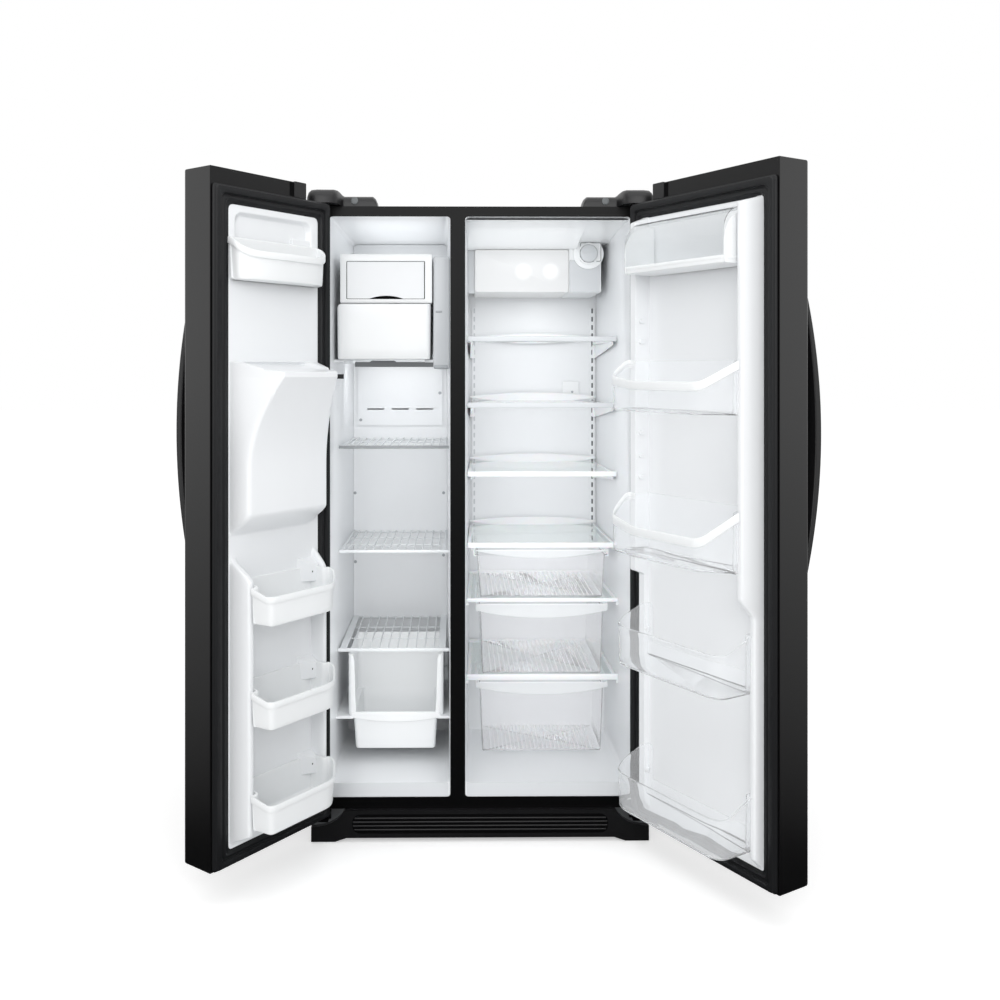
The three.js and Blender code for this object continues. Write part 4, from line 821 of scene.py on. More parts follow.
across = lines(-10, 474, 12, (31, 55.2, 418, 443))
up = lines(LINING_Z[0], LINING_Z[1], 14, (130, 700, 724, 745, 1494, 1518, 1644, 1660))
piece(
    "fresh_door_lining", drawn_sheet(fresh_lining, across, up), on_fresh_door, lining, "fresh_food_door",
    "fresh_door_liner",
)
print("fresh food door lining", len(across), "by", len(up))

# %% [markdown]
# ## Door seals
#
# A seal is a soft vinyl tube with a magnet in it, welded at its four corners, on a flat strip that
# tucks in behind the edge of the lining. Its section goes once round the door. Each point of the
# section is a share of the way from the outer edge to the inner edge, and a height.

# %% Door seals
SEAL_SECTION = [
    (0, 32.1), (0, 34), (0.03, 36), (0.07, 37), (0.09, 41), (0.13, 43.2), (0.22, 43.7), (0.36, 43.6),
    (0.45, 42.6), (0.49, 40), (0.5, 37), (0.56, 36.2), (0.6, 38), (0.66, 39), (0.74, 38.6), (0.78, 36),
    (0.84, 34.4), (0.97, 34), (1, 33.2), (1, 32.1),
]


def door_seal(name, place, body, edge, lining_edge, corners):
    outer = rounded(rectangle((-12, edge - 4), (90, 1702)), 10)
    inner = rounded(rectangle((28, lining_edge), (127, 1659)), corners)
    rings = [
        [(mix(a[0], b[0], share), w, mix(a[1], b[1], share)) for a, b in zip(outer, inner)]
        for share, w in SEAL_SECTION
    ]
    return piece(name, skin(rings, around=True), place, seal_vinyl, body, name.replace("_seal", "_gasket"))


door_seal("freezer_door_seal", on_freezer_door, "freezer_door", FREEZER_EDGE, 325, (12, 12, 16, 16))
door_seal("fresh_door_seal", on_fresh_door, "fresh_food_door", FRESH_EDGE, 442, (8, 8, 34, 16))

# %% [markdown]
# The hinge pin's bush ends each door at the top, next to the step: a moulded block that stands a
# touch proud of the steel, behind a narrow gap.

# %% Bush blocks
for name, place, body in (
    ("freezer", on_freezer_door, "freezer_door"),
    ("fresh", on_fresh_door, "fresh_food_door"),
):
    block = slab(rounded(rectangle((66.6, 108), (1704, 1744.5)), 3, 3), (OUTER + 12, INNER + 1.2), lay_y)
    piece(name + "_door_bush_block", block, place, black_abs, body, edge=1.5)
    # A dark bar in the gap behind the block is painted shade.
    gap = bar((109, 124), (INNER - 2, INNER + 0.25), (1705, 1740))
    piece(name + "_door_bush_gap_shade", gap, place, painted_shade_black, body)

# %% [markdown]
# ## Door bins
#
# A bin is a moulded tub. Its plan is narrow between the two ridges of the lining and swells over
# them, and its rim comes down towards the front. One stack of outlines goes up the outside, over the
# rim and down the inside. A white bin has a deep rounded band for a rim; the plain clear one has a
# thin bead.

# %% Tubs
SHELF_BACK = 32.1


def plan_of(corners, radii):
    return rounded(corners, radii, 5)


def tub(outline, low, rim, wall=2.5, taper=3, band=0, proud=1.4):
    """A tub: the outside, a band or bead, the rim, the inside and its floor."""
    def ring(by, height):
        return [(a, b, height(a, b)) for a, b in inset(outline, by)]

    def under(drop):
        return lambda a, b: rim(a, b) - drop

    def part(share):
        return lambda a, b: mix(low, rim(a, b) - max(band, 4), share)

    rings = [
        ring(taper + 5, lambda a, b: low), ring(taper + 1.2, lambda a, b: low + 1.4),
        ring(taper, lambda a, b: low + 5),
    ]
    rings += [ring(mix(taper, proud, share), part(share)) for share in (0.2, 0.5, 0.8)]
    if band:
        rings += [ring(proud, under(band)), ring(0.6, under(band - 0.6)), ring(0, under(band - 2))]
    else:
        rings += [ring(proud, under(4)), ring(0.2, under(3))]
    edge = max(wall + proud, 3.2)
    rings += [
        ring(0, under(2)), ring(0.7, under(0.6)), ring(edge * 0.5, under(0)), ring(edge * 0.85, under(0.6)),
        ring(edge, under(2)),
    ]
    if band:
        rings += [ring(edge, under(band)), ring(proud + wall, under(band + 1))]
    rings += [ring(mix(taper + wall, proud + wall, share), part(share)) for share in (0.8, 0.5, 0.2)]
    rings += [
        ring(taper + wall, lambda a, b: low + wall + 4), ring(taper + wall + 4, lambda a, b: low + wall),
    ]
    return skin(rings)


def falling_rim(back, front, start, end):
    return lambda u, w: mix(back, front, ease(start, end, w))


# %% White bins of the freezer door
top_plan = plan_of(
    [
        (31, SHELF_BACK), (31, 66.5), (66, 91.5), (135, 102), (222, 104), (291, 94.6), (328, 69.7),
        (328, SHELF_BACK),
    ],
    [3, 16, 30, 40, 40, 30, 16, 3],
)
piece(
    "top_freezer_bin", tub(top_plan, 1478, falling_rim(1581, 1546, 33, 100), taper=8, band=17, proud=5),
    on_freezer_door, white_abs, "freezer_door", "freezer_door_bin_1",
)
narrow_plan = plan_of(
    [
        (52.6, SHELF_BACK), (52.6, 79), (36, 81), (36, 104), (104, 168), (312.7, 168), (318, 100.4),
        (298.6, 100.4), (298.6, SHELF_BACK),
    ],
    [3, 4, 8, 20, 26, 18, 5, 3, 3],
)
for number, (low, back, front) in enumerate(((670, 762, 740), (430, 518, 497), (188, 276, 258)), 2):
    piece(
        f"freezer_bin_{number}",
        tub(narrow_plan, low, falling_rim(back, front, 70, 150), taper=6, band=16, proud=3.4),
        on_freezer_door, white_abs, "freezer_door", f"freezer_door_bin_{number}",
    )

# %% [markdown]
# The fresh food door's bins are clear. The upper two carry a white band, snapped over the edge of the
# tub, so that is a piece by itself. The lower two are clear all over.

# %% Clear bins
CLEAR_CREASE = math.radians(60)


def white_band(outline, rim, deep, corners, wall):
    """A U-shaped strip over the edge of a tub, from the first to the last of its corners."""
    section = [
        (0.2, deep), (-0.6, deep - 1), (-1, deep - 3), (-1, 3), (-0.4, 1), (0.8, -0.3), (wall - 1.6, -0.3),
        (wall - 0.4, 0.8), (wall, 3), (wall, 9), (wall - 0.6, 10),
    ]
    loops = [[(a, b, rim(a, b) - down) for a, b in inset(outline, by)] for by, down in section]
    first, last = (6 * corner + 3 for corner in corners)
    return skin([[loop[i] for loop in loops] for i in range(first, last + 1)])


def wide_plan(hinge_dyke, handle_dyke, front):
    """The plan of a fresh food bin, between its ridges and out over them."""
    corners = [
        (hinge_dyke[0], SHELF_BACK), (hinge_dyke[0], hinge_dyke[1]), *front, (434, handle_dyke[1]),
        (417.6, handle_dyke[1]), (417.6, SHELF_BACK),
    ]
    return plan_of(corners, [3, 4] + [20] * len(front) + [5, 3, 3])


upper_plan = wide_plan((55.4, 79.4), (0, 100.4), [(36, 81), (36, 146), (151, 168), (366, 168)])
side_wall = [
    (52.4, SHELF_BACK), (52.4, 48.4), (52, 121), (71, 153), (105, 168), (407, 168), (434, 151), (434, 60.4),
    (417.6, 60.4),
]
PLATE, PLATE_ROUND = 60, 12
back_wall = [(417.6, SHELF_BACK), (408, SHELF_BACK), (407, SHELF_BACK)]
back_wall += [(PLATE + PLATE_ROUND * share, SHELF_BACK) for share in (1.05, 1, 0.97, 0.88, 0.7, 0.45, 0)]
lower_plan = plan_of(side_wall + back_wall, [3, 4, 20, 20, 20, 20, 20, 5, 3] + [0.4] * len(back_wall))
for number, (low, back, front) in enumerate(((1162, 1290, 1234), (806, 950, 878)), 1):
    rim = falling_rim(back, front, 84, 178)
    piece(
        f"fresh_bin_{number}", tub(upper_plan, low, lambda u, w: rim(u, w) - 2), on_fresh_door, clear_styrene,
        "fresh_food_door", f"fresh_door_bin_{number}", crease=CLEAR_CREASE,
    )
    piece(
        f"fresh_bin_{number}_band", white_band(upper_plan, rim, 20, (1, 6), 4), on_fresh_door, white_abs,
        "fresh_food_door",
    )
for number, (low, back, front) in enumerate(((530, 664, 630), (173, 300, 265)), 3):
    side = falling_rim(back, front, 50, 150)

    def plate_rim(u, w):
        """The back wall is low, and each end has a plate that stands up with a round corner."""
        across = (u - PLATE) / PLATE_ROUND
        if w > 42 or u > 407.5 or across < 0:
            return side(u, w)
        return side(u, w) - PLATE_ROUND * (1 - math.sqrt(1 - across * across)) if across < 1 else low + 40

    piece(
        f"fresh_bin_{number}", tub(lower_plan, low, plate_rim), on_fresh_door, clear_styrene,
        "fresh_food_door", f"fresh_door_bin_{number}", crease=CLEAR_CREASE,
    )

# %% [markdown]
# ## The dairy compartment
#
# A white tray with two cheeks carries a clear lid, a quarter of a tube that turns up out of the way.
# The lid is one clear sheet bent round.

# %% Dairy tray
DAIRY_X, DAIRY_REACH = (72, 415.6), 130
tray_plan = plan_of(rectangle(DAIRY_X, (SHELF_BACK, DAIRY_REACH)), [2, 2, 14, 14])
cheek = rounded(
    [(SHELF_BACK, 1506), (129, 1506), (129, 1576), (102, 1617), (SHELF_BACK, 1631)], [1, 6, 20, 20, 1],
)
tray_shape = together(
    tub(tray_plan, 1505, lambda u, w: 1522.6, taper=1.5, band=8, proud=1),
    *[slab(cheek, span, lay_x) for span in ((73, 75.5), (412, 414.5))],
)
piece("dairy_tray_moulded", tray_shape, on_fresh_door, white_abs, "fresh_food_door", "dairy_tray", edge=0.8)

# %% Dairy lid
LID_TOP, LID_ROUND, LID_PIVOT, LID_WALL = 1636, 56, 48, 2.5
LID_LOW = 1523.8


def lid_arc(by, steps=14):
    turns = [math.pi / 2 * i / steps for i in range(steps + 1)]
    radius = LID_ROUND - by
    return [
        (DAIRY_REACH - LID_ROUND + radius * math.cos(t), LID_TOP - LID_ROUND + radius * math.sin(t))
        for t in turns
    ]


lid_outline = [(DAIRY_REACH, LID_LOW), *lid_arc(0), (LID_PIVOT, LID_TOP)]
lid_inside = [(DAIRY_REACH - LID_WALL, LID_LOW), *lid_arc(LID_WALL), (LID_PIVOT, LID_TOP - LID_WALL)]
lid_section = lid_outline + lid_inside[::-1]
lid_shape = slab(lid_section, (DAIRY_X[0] + 3.2, DAIRY_X[1] - 3.2), lay_x)
piece("dairy_lid_clear", lid_shape, on_fresh_door, lid_shaded_styrene, "dairy_lid", "dairy_lid", edge=0.8)

# %% [markdown]
# ## What holds the bins
#
# Each bin of the freezer door hangs on a block in the corner of panel and ridge, with a small hole
# for its catch. The clear bins hang on blunt nubs at the side of the ridge. All are part of the drawn
# lining on the real door, and are added to it here as small rounded blocks.

# %% Blocks and nubs


def nub(u, w, z, size, lean):
    """A block on the side of a ridge, whose top slopes."""
    wide, deep, high = (side / 2 for side in size)
    outline = [(w - deep, z - high), (w + deep, z - high), (w + deep, z + high - lean), (w - deep, z + high)]
    return slab(rounded(outline, 5, 3), (u - wide, u + wide), lay_x)


def catch_block(foot, top):
    """A block in the corner of panel and ridge, cut at a slant, whose top slopes to the front."""
    plan = [(50, 30), (102, 30), (102, 34), (61, 58), (50, 58)]
    fall = (0, 0, 0, 18, 18)
    return skin([[(u, w, foot) for u, w in plan], [(u, w, top - drop) for (u, w), drop in zip(plan, fall)]])


CATCH_Z = ((724, 785), (475, 533), (232, 288))
freezer_blocks = [catch_block(*span) for span in CATCH_Z] + [bar((50, 116), (19, 30), (1540, 1597))]
# The hole of each catch is a dark plate on its block: painted shade.
catch_hole_shades = [bar((64, 69), (53.4, 54.6), (foot + 23, foot + 27)) for foot, top in CATCH_Z]
piece("bin_catch_hole_shades", together(*catch_hole_shades), on_freezer_door, painted_shade_black, "freezer_door")
piece("freezer_bin_wedges", together(*freezer_blocks), on_freezer_door, lining, "freezer_door", edge=2.5)
fresh_nubs = [nub(57, 58, z, (7, 18, 13), 3) for z in (1391, 1338, 1104, 1045, 990)]
fresh_nubs += [nub(57, 40, z, (6, 12, 14), 3) for z in (597, 233)]
piece("fresh_bin_nubs", together(*fresh_nubs), on_fresh_door, lining, "fresh_food_door", edge=1.5)

# %% [markdown]
# ## Handles
#
# Each handle is a bowed bar of moulded plastic. Both ends of the bow run down to the door's face.

# %% Handles
HANDLE_WIDTH, HANDLE_THICK, HANDLE_FOOT = 26, 20, 44
HANDLE_MIDDLE, HANDLE_REACH, HANDLE_BOW = 1115, 345, 55


def bow(half, depth, steps=30):
    shares = [2 * i / steps - 1 for i in range(steps + 1)]
    return [(OUTER - 0.3 - depth * (1 - s * s), HANDLE_MIDDLE + s * half) for s in shares]


for name, place, body, end in (
    ("freezer_door_handle", on_freezer_door, "freezer_door", FREEZER_EDGE - 21),
    ("fresh_door_handle", on_fresh_door, "fresh_food_door", FRESH_EDGE - 11),
):
    inner = bow(HANDLE_REACH - HANDLE_FOOT, HANDLE_BOW - HANDLE_THICK)
    shape = slab(bow(HANDLE_REACH, HANDLE_BOW) + inner[::-1], (end - HANDLE_WIDTH, end), lay_x)
    piece(name + "_bar", shape, place, black_abs, body, name, edge=6, steps=4)

# %% [markdown]
# ## Inside the freezer
#
# The ice maker sits behind a moulded cover with a flap, over a bin for the cubes. The flap's lower
# edge is cut away in a shallow arc for a finger, and a dark plate behind it is painted shade for the recess.

# %% Walls of the compartments
BODY_FRONT = 3


def walls(room, y):
    """The left and right wall of a compartment at a depth, in from its mouth."""
    (left, right), depth, (draft_left, draft_right) = room
    share = (y - BODY_FRONT) / (depth - BODY_FRONT)
    return left + draft_left * share, right - draft_right * share


FREEZER = ((-405.4, -80.5), 637, (8, 16))
FRESH = ((-40.5, 405.4), 600, (17, 12))


def arc_row(x, base, rise, steps=18):
    """A row of points that bows up, or down, by the rise in its middle."""
    shares = [i / steps for i in range(steps + 1)]
    return [(mix(x[0], x[1], s), base + rise * (1 - (2 * s - 1) ** 2)) for s in shares]


# %% Ice maker cover and flap
COVER_X, COVER_Z, ICE_FRONT = (-386, -131.6), (1450, 1586), 80
WINDOW_X, WINDOW_Z = (-368.6, -151.5), (1461, 1566)


def framed_box(x, z, window_x, window_z, front, back, wall, corner):
    """A box with a rounded face and a window in it, open at the back."""
    outer, hole = rounded(rectangle(x, z), corner), rounded(rectangle(window_x, window_z), 3)

    def at(points, y):
        return [(a, y, b) for a, b in points]

    rings = [
        at(outer, back), at(outer, front + 3), at(inset(outer, 0.6), front + 0.8),
        at(inset(outer, 2.4), front),
    ]
    rings += [at(inset(hole, -1), front), at(hole, front + 1), at(hole, front + wall)]
    rings += [at(inset(outer, wall), front + wall), at(inset(outer, wall), back)]
    return skin(rings, around=True)


cabinet_piece(
    "ice_maker_cover_moulded", framed_box(COVER_X, COVER_Z, WINDOW_X, WINDOW_Z, ICE_FRONT, 565.7, 2.5, 5),
    white_abs, "ice_maker_cover",
)
scoop = arc_row((-305, -212), 1462.2, 8)
flap_outline = [(-366.8, 1564.6), (-366.8, 1462.2), *scoop, (-153.6, 1462.2), (-153.6, 1564.6)]
piece(
    "ice_maker_flap_panel", slab(flap_outline, (ICE_FRONT, ICE_FRONT + 2.5), lay_y), in_cabinet, grained_abs,
    "ice_maker_flap", "ice_maker_flap", edge=1.2,
)
# A dark plate behind the flap and its finger arc is painted shade for the recess.
cabinet_piece(
    "ice_maker_recess_shade", bar((-372, -148), (ICE_FRONT + 3.2, ICE_FRONT + 6), (1456, 1570)), painted_shade_black,
)

# %% Ice bin
ice_plan = rounded(rectangle((-394.6, -135.9), (75, 430)), 16)


def ice_rim(x, y):
    """Level, but for the round corner at the left."""
    near = min(max((x + 394.6) / 13, 0), 1)
    return 1448 - 13 * (1 - math.sqrt(1 - (1 - near) ** 2))


piece(
    "ice_bin_moulded", tub(ice_plan, 1294, ice_rim, wall=3, taper=1.2, proud=0), in_cabinet, white_abs,
    "ice_bin", "ice_bin",
)
rail_outline = [
    (-347, 1273.6), (-347, 1287),
    *[(x, 1287 + 4 * ease(-306, -300, x) * (1 - ease(-238, -231, x))) for x in range(-310, -226, 3)],
    (-126, 1287), (-126, 1273.6),
]
cabinet_piece("ice_bin_cross_rail", slab(rail_outline, (101, 112), lay_y), dark_grey_and_shade, edge=1)

# %% [markdown]
# Beside the ice maker a tall grey cover hides the lamp. Its glow falls on the back wall below the
# ice bin.

# %% Lamp cover
duct_rings = []
for y, in_by in ((96, 3), (97, 1), (99.5, 0), (559, 0)):
    right = walls(FREEZER, y)[1] - 0.4
    duct_rings.append(
        [
            (a, y, b)
            for a, b in rounded(rectangle((-128.5 + in_by, right - in_by), (1268 + in_by, 1581 - in_by)), 7)
        ]
    )
duct_ledge = bar((-152.5, -126), (99, 406), (1285.7, 1293.7))
cabinet_piece(
    "freezer_lamp_cover", together(skin(duct_rings), duct_ledge), pale_grey_and_shade, "freezer_light_cover",
    edge=1,
)
cabinet_piece("lamp_cover_foot", bar((-127, -88), (93.5, 110), (1269, 1279)), grey_abs, edge=3)
cabinet_piece("lamp_cover_clip", bar((-122, -104), (94, 99), (1424, 1430)), grey_abs, edge=1.5)
cabinet_piece("freezer_door_switch", bar((-404, -384), (150, 158), (1240, 1253)), black_abs, edge=1.2)

# %% [markdown]
# ## Wire shelves
#
# Steel wire is cut, laid in a jig, welded where it crosses and dipped in vinyl. Each wire here is an
# eight-sided rod with smooth shading, and the front wire is a deeper bar that shows its edge.

# %% Wire shelves
ROD, CROSS_DROP = disc(2.1, 8), 3.8


def rod(start, end):
    """A wire between two points of the same height."""
    ahead = (Vector(end) - Vector(start)).normalized()
    side = ahead.cross(Vector((0, 0, 1))).normalized()
    over = side.cross(ahead)
    return skin([[tuple(Vector(point) + side * a + over * b) for a, b in ROD] for point in (start, end)])


def wire_shelf(name, node, top, front, wires, trim, edge_wide, trim_finish_and_shade):
    back = 564
    low = top - 2.2
    left, right = walls(FREEZER, back)
    left, right = left + 0.6, right - 0.6
    front_left, front_right = walls(FREEZER, front)
    parts = []
    for x0, x1 in ((left, left + edge_wide), (right - edge_wide, right)):
        parts.append(bar((x0, x1), (front + 3, back), (top - 3.6, top - 0.4)))
    inner_left, inner_right = left + edge_wide, right - edge_wide
    for i in range(wires):
        x = mix(inner_left, inner_right, (i + 0.5) / wires)
        parts.append(rod((x, front + 3, low), (x, back, low)))
    for y in (back - 3, mix(front, back, 1 / 3), mix(front, back, 2 / 3)):
        parts.append(rod((left, y, low - CROSS_DROP), (right, y, low - CROSS_DROP)))
    cabinet_piece(name, together(*parts), vinyl_wire, node, edge=0.5)
    strip = slab(
        rounded(rectangle((front, front + 6), (top - trim, top)), 2.4, 3),
        (front_left + 0.8, front_right - 0.8), lay_x,
    )
    cabinet_piece(name + "_front_trim", strip, trim_finish_and_shade, edge=0.5)


# The upper shelf's grey trim is painted shade; the lower shelves' trims keep the white of their wire.
wire_shelf("upper_wire_shelf", "freezer_shelf_upper", 1047, 193, 12, 8.6, 7, painted_shade_mid_grey)
wire_shelf("lower_wire_shelf", "freezer_shelf_lower", 747, 193, 12, 8.6, 7, vinyl_wire)
wire_shelf("basket_wire_shelf", "basket_shelf", 470, 171, 10, 10, 20, vinyl_wire)

# %% [markdown]
# ## The freezer basket
#
# The basket is one moulding: a wide open upper part that runs on rails at its two sides, and a
# narrower tub below. Its front stops low, with a rounded lip that sags in a shallow arc, so that a
# hand gets in.

# %% Freezer basket
WING_X, BODY_X, BASKET_Y = (-371, -101), (-356, -119), (150, 405)
WING_Z, BASKET_LOW, BASKET_TOP, LIP_TOP = 286, 190, 458, 296


def basket_ring(x, y, z):
    """Every ring has its points at the same shares along its sides, so that the rings match."""
    unit = dense(rounded(rectangle((0, 270), (0, 255)), 14), 3)
    outline = [(mix(x[0], x[1], a / 270), mix(y[0], y[1], b / 255)) for a, b in unit]
    return [(a, b, z(a, b) if callable(z) else z) for a, b in outline]


def grown(span, by):
    return span[0] - by, span[1] + by


def rim_height(x, y):
    """High at the sides and back, low across the front."""
    side = 1 - min(ease(WING_X[0] + 16, WING_X[0] + 22, x), 1 - ease(WING_X[1] - 22, WING_X[1] - 16, x))
    front = 1 - ease(BASKET_Y[0] + 4, BASKET_Y[0] + 22, y)
    return mix(BASKET_TOP, LIP_TOP, front * (1 - side))


basket_rings = [
    basket_ring(grown(BODY_X, -10), grown(BASKET_Y, -10), BASKET_LOW),
    basket_ring(grown(BODY_X, -6.5), grown(BASKET_Y, -6.5), BASKET_LOW + 1.2),
    basket_ring(grown(BODY_X, -5), grown(BASKET_Y, -5), BASKET_LOW + 6),
    basket_ring(BODY_X, grown(BASKET_Y, -0.5), WING_Z - 5),
    basket_ring(grown(BODY_X, 2), BASKET_Y, WING_Z - 0.6),
    basket_ring(grown(WING_X, -1.6), BASKET_Y, WING_Z),
    basket_ring(WING_X, BASKET_Y, WING_Z + 2),
    basket_ring(WING_X, BASKET_Y, lambda x, y: rim_height(x, y) - 1.5),
    basket_ring(grown(WING_X, -1), grown(BASKET_Y, -1), rim_height),
    basket_ring(grown(WING_X, -2.4), grown(BASKET_Y, -2.4), lambda x, y: rim_height(x, y) - 0.6),
    basket_ring(grown(WING_X, -3), grown(BASKET_Y, -3), lambda x, y: rim_height(x, y) - 3),
    basket_ring(grown(WING_X, -3), grown(BASKET_Y, -3), WING_Z + 3),
    basket_ring(grown(BODY_X, -3), grown(BASKET_Y, -3.5), WING_Z + 2),
    basket_ring(grown(BODY_X, -8), grown(BASKET_Y, -8), BASKET_LOW + 8),
    basket_ring(grown(BODY_X, -13), grown(BASKET_Y, -13), BASKET_LOW + 3),
]
smile = arc_row((-364, -108), 281, -13)
lip_outline = smile + [(-112, LIP_TOP - 1), (-360, LIP_TOP - 1)]
basket_lip = slab(lip_outline, (BASKET_Y[0] - 4.5, BASKET_Y[0] + 1.5), lay_y)
piece("freezer_basket_tub", skin(basket_rings), in_cabinet, white_abs, "freezer_basket", "freezer_basket")
piece("freezer_basket_lip", basket_lip, in_cabinet, white_abs, "freezer_basket", edge=2, steps=3)

# %% [markdown]
# The panel in front of the cooling coil is held by a few screws, whose round heads are sunk a little.

# %% Screw heads


def button(x, y, z, radius=5, proud=1.6):
    """A low round head on a wall that faces the front."""
    steps = ((1, 0), (0.92, proud * 0.8), (0.6, proud), (0.25, proud))
    return skin(
        [[(x + a * share, y - height, z + b * share) for a, b in disc(radius, 16)] for share, height in steps]
    )


PANEL_FACE = 566
screws = [button(x, PANEL_FACE, z) for x, z in ((-393, 867), (-106, 867), (-106, 665), (-392, 644))]
screws += [button(x, PANEL_FACE - 6, z) for x, z in ((-118, 1191), (-374, 1104))]
cabinet_piece("back_panel_screws", together(*screws), grey_abs)

# %% [markdown]
# The three air slots have a lip that hangs over them, so only a thin dark line of each shows.

# %% Lips of the air slots
SLOT_LENGTH, SLOT_GAP, SLOT_Z = 55, 24, 1141
cover_low, cover_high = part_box("evaporator_cover")
air_middle = ((cover_low[0] + cover_high[0]) / 2 - origin_x) / MM
lips = []
for i in (-1, 0, 1):
    middle = air_middle + i * (SLOT_LENGTH + SLOT_GAP)
    half = SLOT_LENGTH / 2 + 2
    lips.append(
        bar((middle - half, middle + half), (PANEL_FACE - 7.4, PANEL_FACE - 5.8), (SLOT_Z + 0.2, SLOT_Z + 7))
    )
cabinet_piece("air_slot_lips", together(*lips), lining, edge=0.7)

# %% [markdown]
# ## Glass shelves
#
# A pane of tempered glass lies in a white moulded frame. The frame has a low bar at the front, a bar
# along each side and a guard at the back that is higher in its middle. Two brackets carry it from
# the tracks in the back wall.

# %% Glass shelves
SHELF_Y = (200, 588)
SHELF_CLEAR, TRIM_HIGH, SIDE_WIDE = 2.4, 15, 11
GLASS_DROP, GLASS_THICK = 8, 4
ARM_THICK, ARM_DEEP = 3, 44
TRACK_X = (-6, 380)


def between(y, by=0.0):
    left, right = walls(FRESH, y)
    return left + by, right - by


def plank(y, by, z):
    """A plate across the compartment that follows the draft of its walls."""
    near, far = between(y[0], by), between(y[1], by)
    outline = [(near[0], y[0]), (near[1], y[0]), (far[1], y[1]), (far[0], y[1])]
    return slab(outline, z, lay_z)


def side_bar(side, y, by, wide, z):
    """A bar along one wall, on the left for side 0 and on the right for side 1."""
    near, far = between(y[0], by)[side], between(y[1], by)[side]
    wide = (wide, -wide)[side]
    return slab([(near, y[0]), (near + wide, y[0]), (far + wide, y[1]), (far, y[1])], z, lay_z)


def glass_shelf(name, node, top, trim_finish_and_shade):
    low = top - TRIM_HIGH
    front, back = SHELF_Y
    front_x, back_x = between(front + 6, SHELF_CLEAR), between(back, SHELF_CLEAR)
    trim_outline = [
        (front, low), (front + 12, low), (front + 12, top - 5), (front + 3, top), (front, top - 2),
    ]
    guard = arc_row(back_x, top + 9, 12) + arc_row(back_x, top + 5, -16)[::-1]
    parts = [slab(guard, (back - 6, back), lay_y)]
    parts += [side_bar(side, (front + 4, back), SHELF_CLEAR, SIDE_WIDE, (low, low + 8)) for side in (0, 1)]
    for side in (0, 1):
        outer = back_x[side] + (0, -ARM_THICK)[side]
        arm = [(front + 12, low), (front + 12, low - 10), (back, low - ARM_DEEP), (back, low)]
        parts.append(slab(rounded(arm, 4, 3), (outer, outer + ARM_THICK), lay_x))
        claw = sorted((outer + ARM_THICK / 2, TRACK_X[side]))
        parts.append(bar(claw, (back - 4, back + 3.5), (low - ARM_DEEP, low)))
    cabinet_piece(name + "_frame", together(*parts), frosted_styrene, node, edge=0.9)
    cabinet_piece(name + "_trim", slab(rounded(trim_outline, 1.6, 3), front_x, lay_x), trim_finish_and_shade, edge=0.9)
    pane = plank((front + 9, back - 5), SHELF_CLEAR + 4, (top - GLASS_DROP, top - GLASS_DROP + GLASS_THICK))
    cabinet_piece(name + "_glass", pane, tempered_glass, edge=0.6)


# The grey trims of the top and middle shelves are painted shade; the low shelf's trim keeps its own white.
for name, node, top, trim_finish_and_shade in (
    ("top_shelf", "shelf_upper", 1363, pale_grey_and_shade),
    ("middle_shelf", "shelf_middle", 1171, pale_grey_and_shade),
    ("low_shelf", "shelf_lower", 972, frosted_styrene),
):
    glass_shelf(name, node, top, trim_finish_and_shade)

# %% [markdown]
# ## Drawers
#
# Each drawer hangs by two rims on rails under the shelf above it. Its front has a lip with a lower
# edge that sags in a shallow arc, for the fingers, and its floor has ribs that keep food off the wet.

# %% Rails under a shelf


def drawer_rails(drawer_x, y, carried, top):
    """Two angle rails. The drawer's rim rests on their feet."""
    parts = []
    for edge, out in ((drawer_x[0] - 7, -1), (drawer_x[1] + 7, 1)):
        face = edge + out * 0.6
        parts.append(bar(sorted((face, face + out * 3)), y, (carried - 3, top)))
        parts.append(bar(sorted((face - out * 5.4, face + out * 3)), y, (carried - 3, carried)))
    return parts


# %% Drawers
LIP_X = (-8, 370)


def drawer(name, node, x, y, z, rim_z, lip, ribs):
    """lip is its top, its lower edge at the ends and in the middle."""
    plan = rounded(rectangle(x, y), 14)
    shell = tub(plan, z, lambda a, b: rim_z, wall=2, taper=8)
    rims = [
        bar(span, (y[0] + 14, y[1] - 14), (rim_z - 3, rim_z))
        for span in ((x[0] - 7, x[0] + 1), (x[1] - 1, x[1] + 7))
    ]
    piece(name + "_tub", together(shell, *rims), in_cabinet, drawer_styrene, node, node, crease=CLEAR_CREASE)
    rib_x = [mix(x[0] + 34, x[1] - 34, i / (ribs - 1)) for i in range(ribs)]
    rib_rows = [bar((a - 1.3, a + 1.3), (y[0] + 20, y[1] - 20), (z + 2.4, z + 5)) for a in rib_x]
    piece(name + "_ribs", together(*rib_rows), in_cabinet, frosted_styrene, node, edge=0.6)
    lip_top, lip_end, lip_middle = lip
    outline = arc_row(LIP_X, lip_end, lip_middle - lip_end) + [(LIP_X[1], lip_top), (LIP_X[0], lip_top)]
    piece(name + "_lip", slab(outline, (y[0] - 3, y[0] + 1), lay_y), in_cabinet, drawer_lip, node, edge=1.2)
    rim_line = bar((x[0] + 2, x[1] - 2), (y[0] - 0.6, y[0] + 2), (lip_top - 3, lip_top - 0.2))
    piece(name + "_lip_edge", rim_line, in_cabinet, frosted_styrene, node, edge=0.8)


# %% Deli shelf and drawer
glass_shelf("deli_shelf", "deli_shelf", 766, frosted_styrene)
DELI_X, CRISPER_X = (-4, 366), (2, 360)
deli_rails = drawer_rails(DELI_X, (209, 560), 728, 752)
cabinet_piece("deli_rails", together(*deli_rails), frosted_styrene, edge=0.6)
drawer("deli", "deli_drawer", DELI_X, (193, 560), 609, 731.5, (746, 744, 724), 24)

# %% [markdown]
# The two shelves over the crispers are deeper at the front, where they close the drawers off.

# %% Crisper shelves and drawers
CRISPER_FRONT, CRISPER_BACK = 190, 590


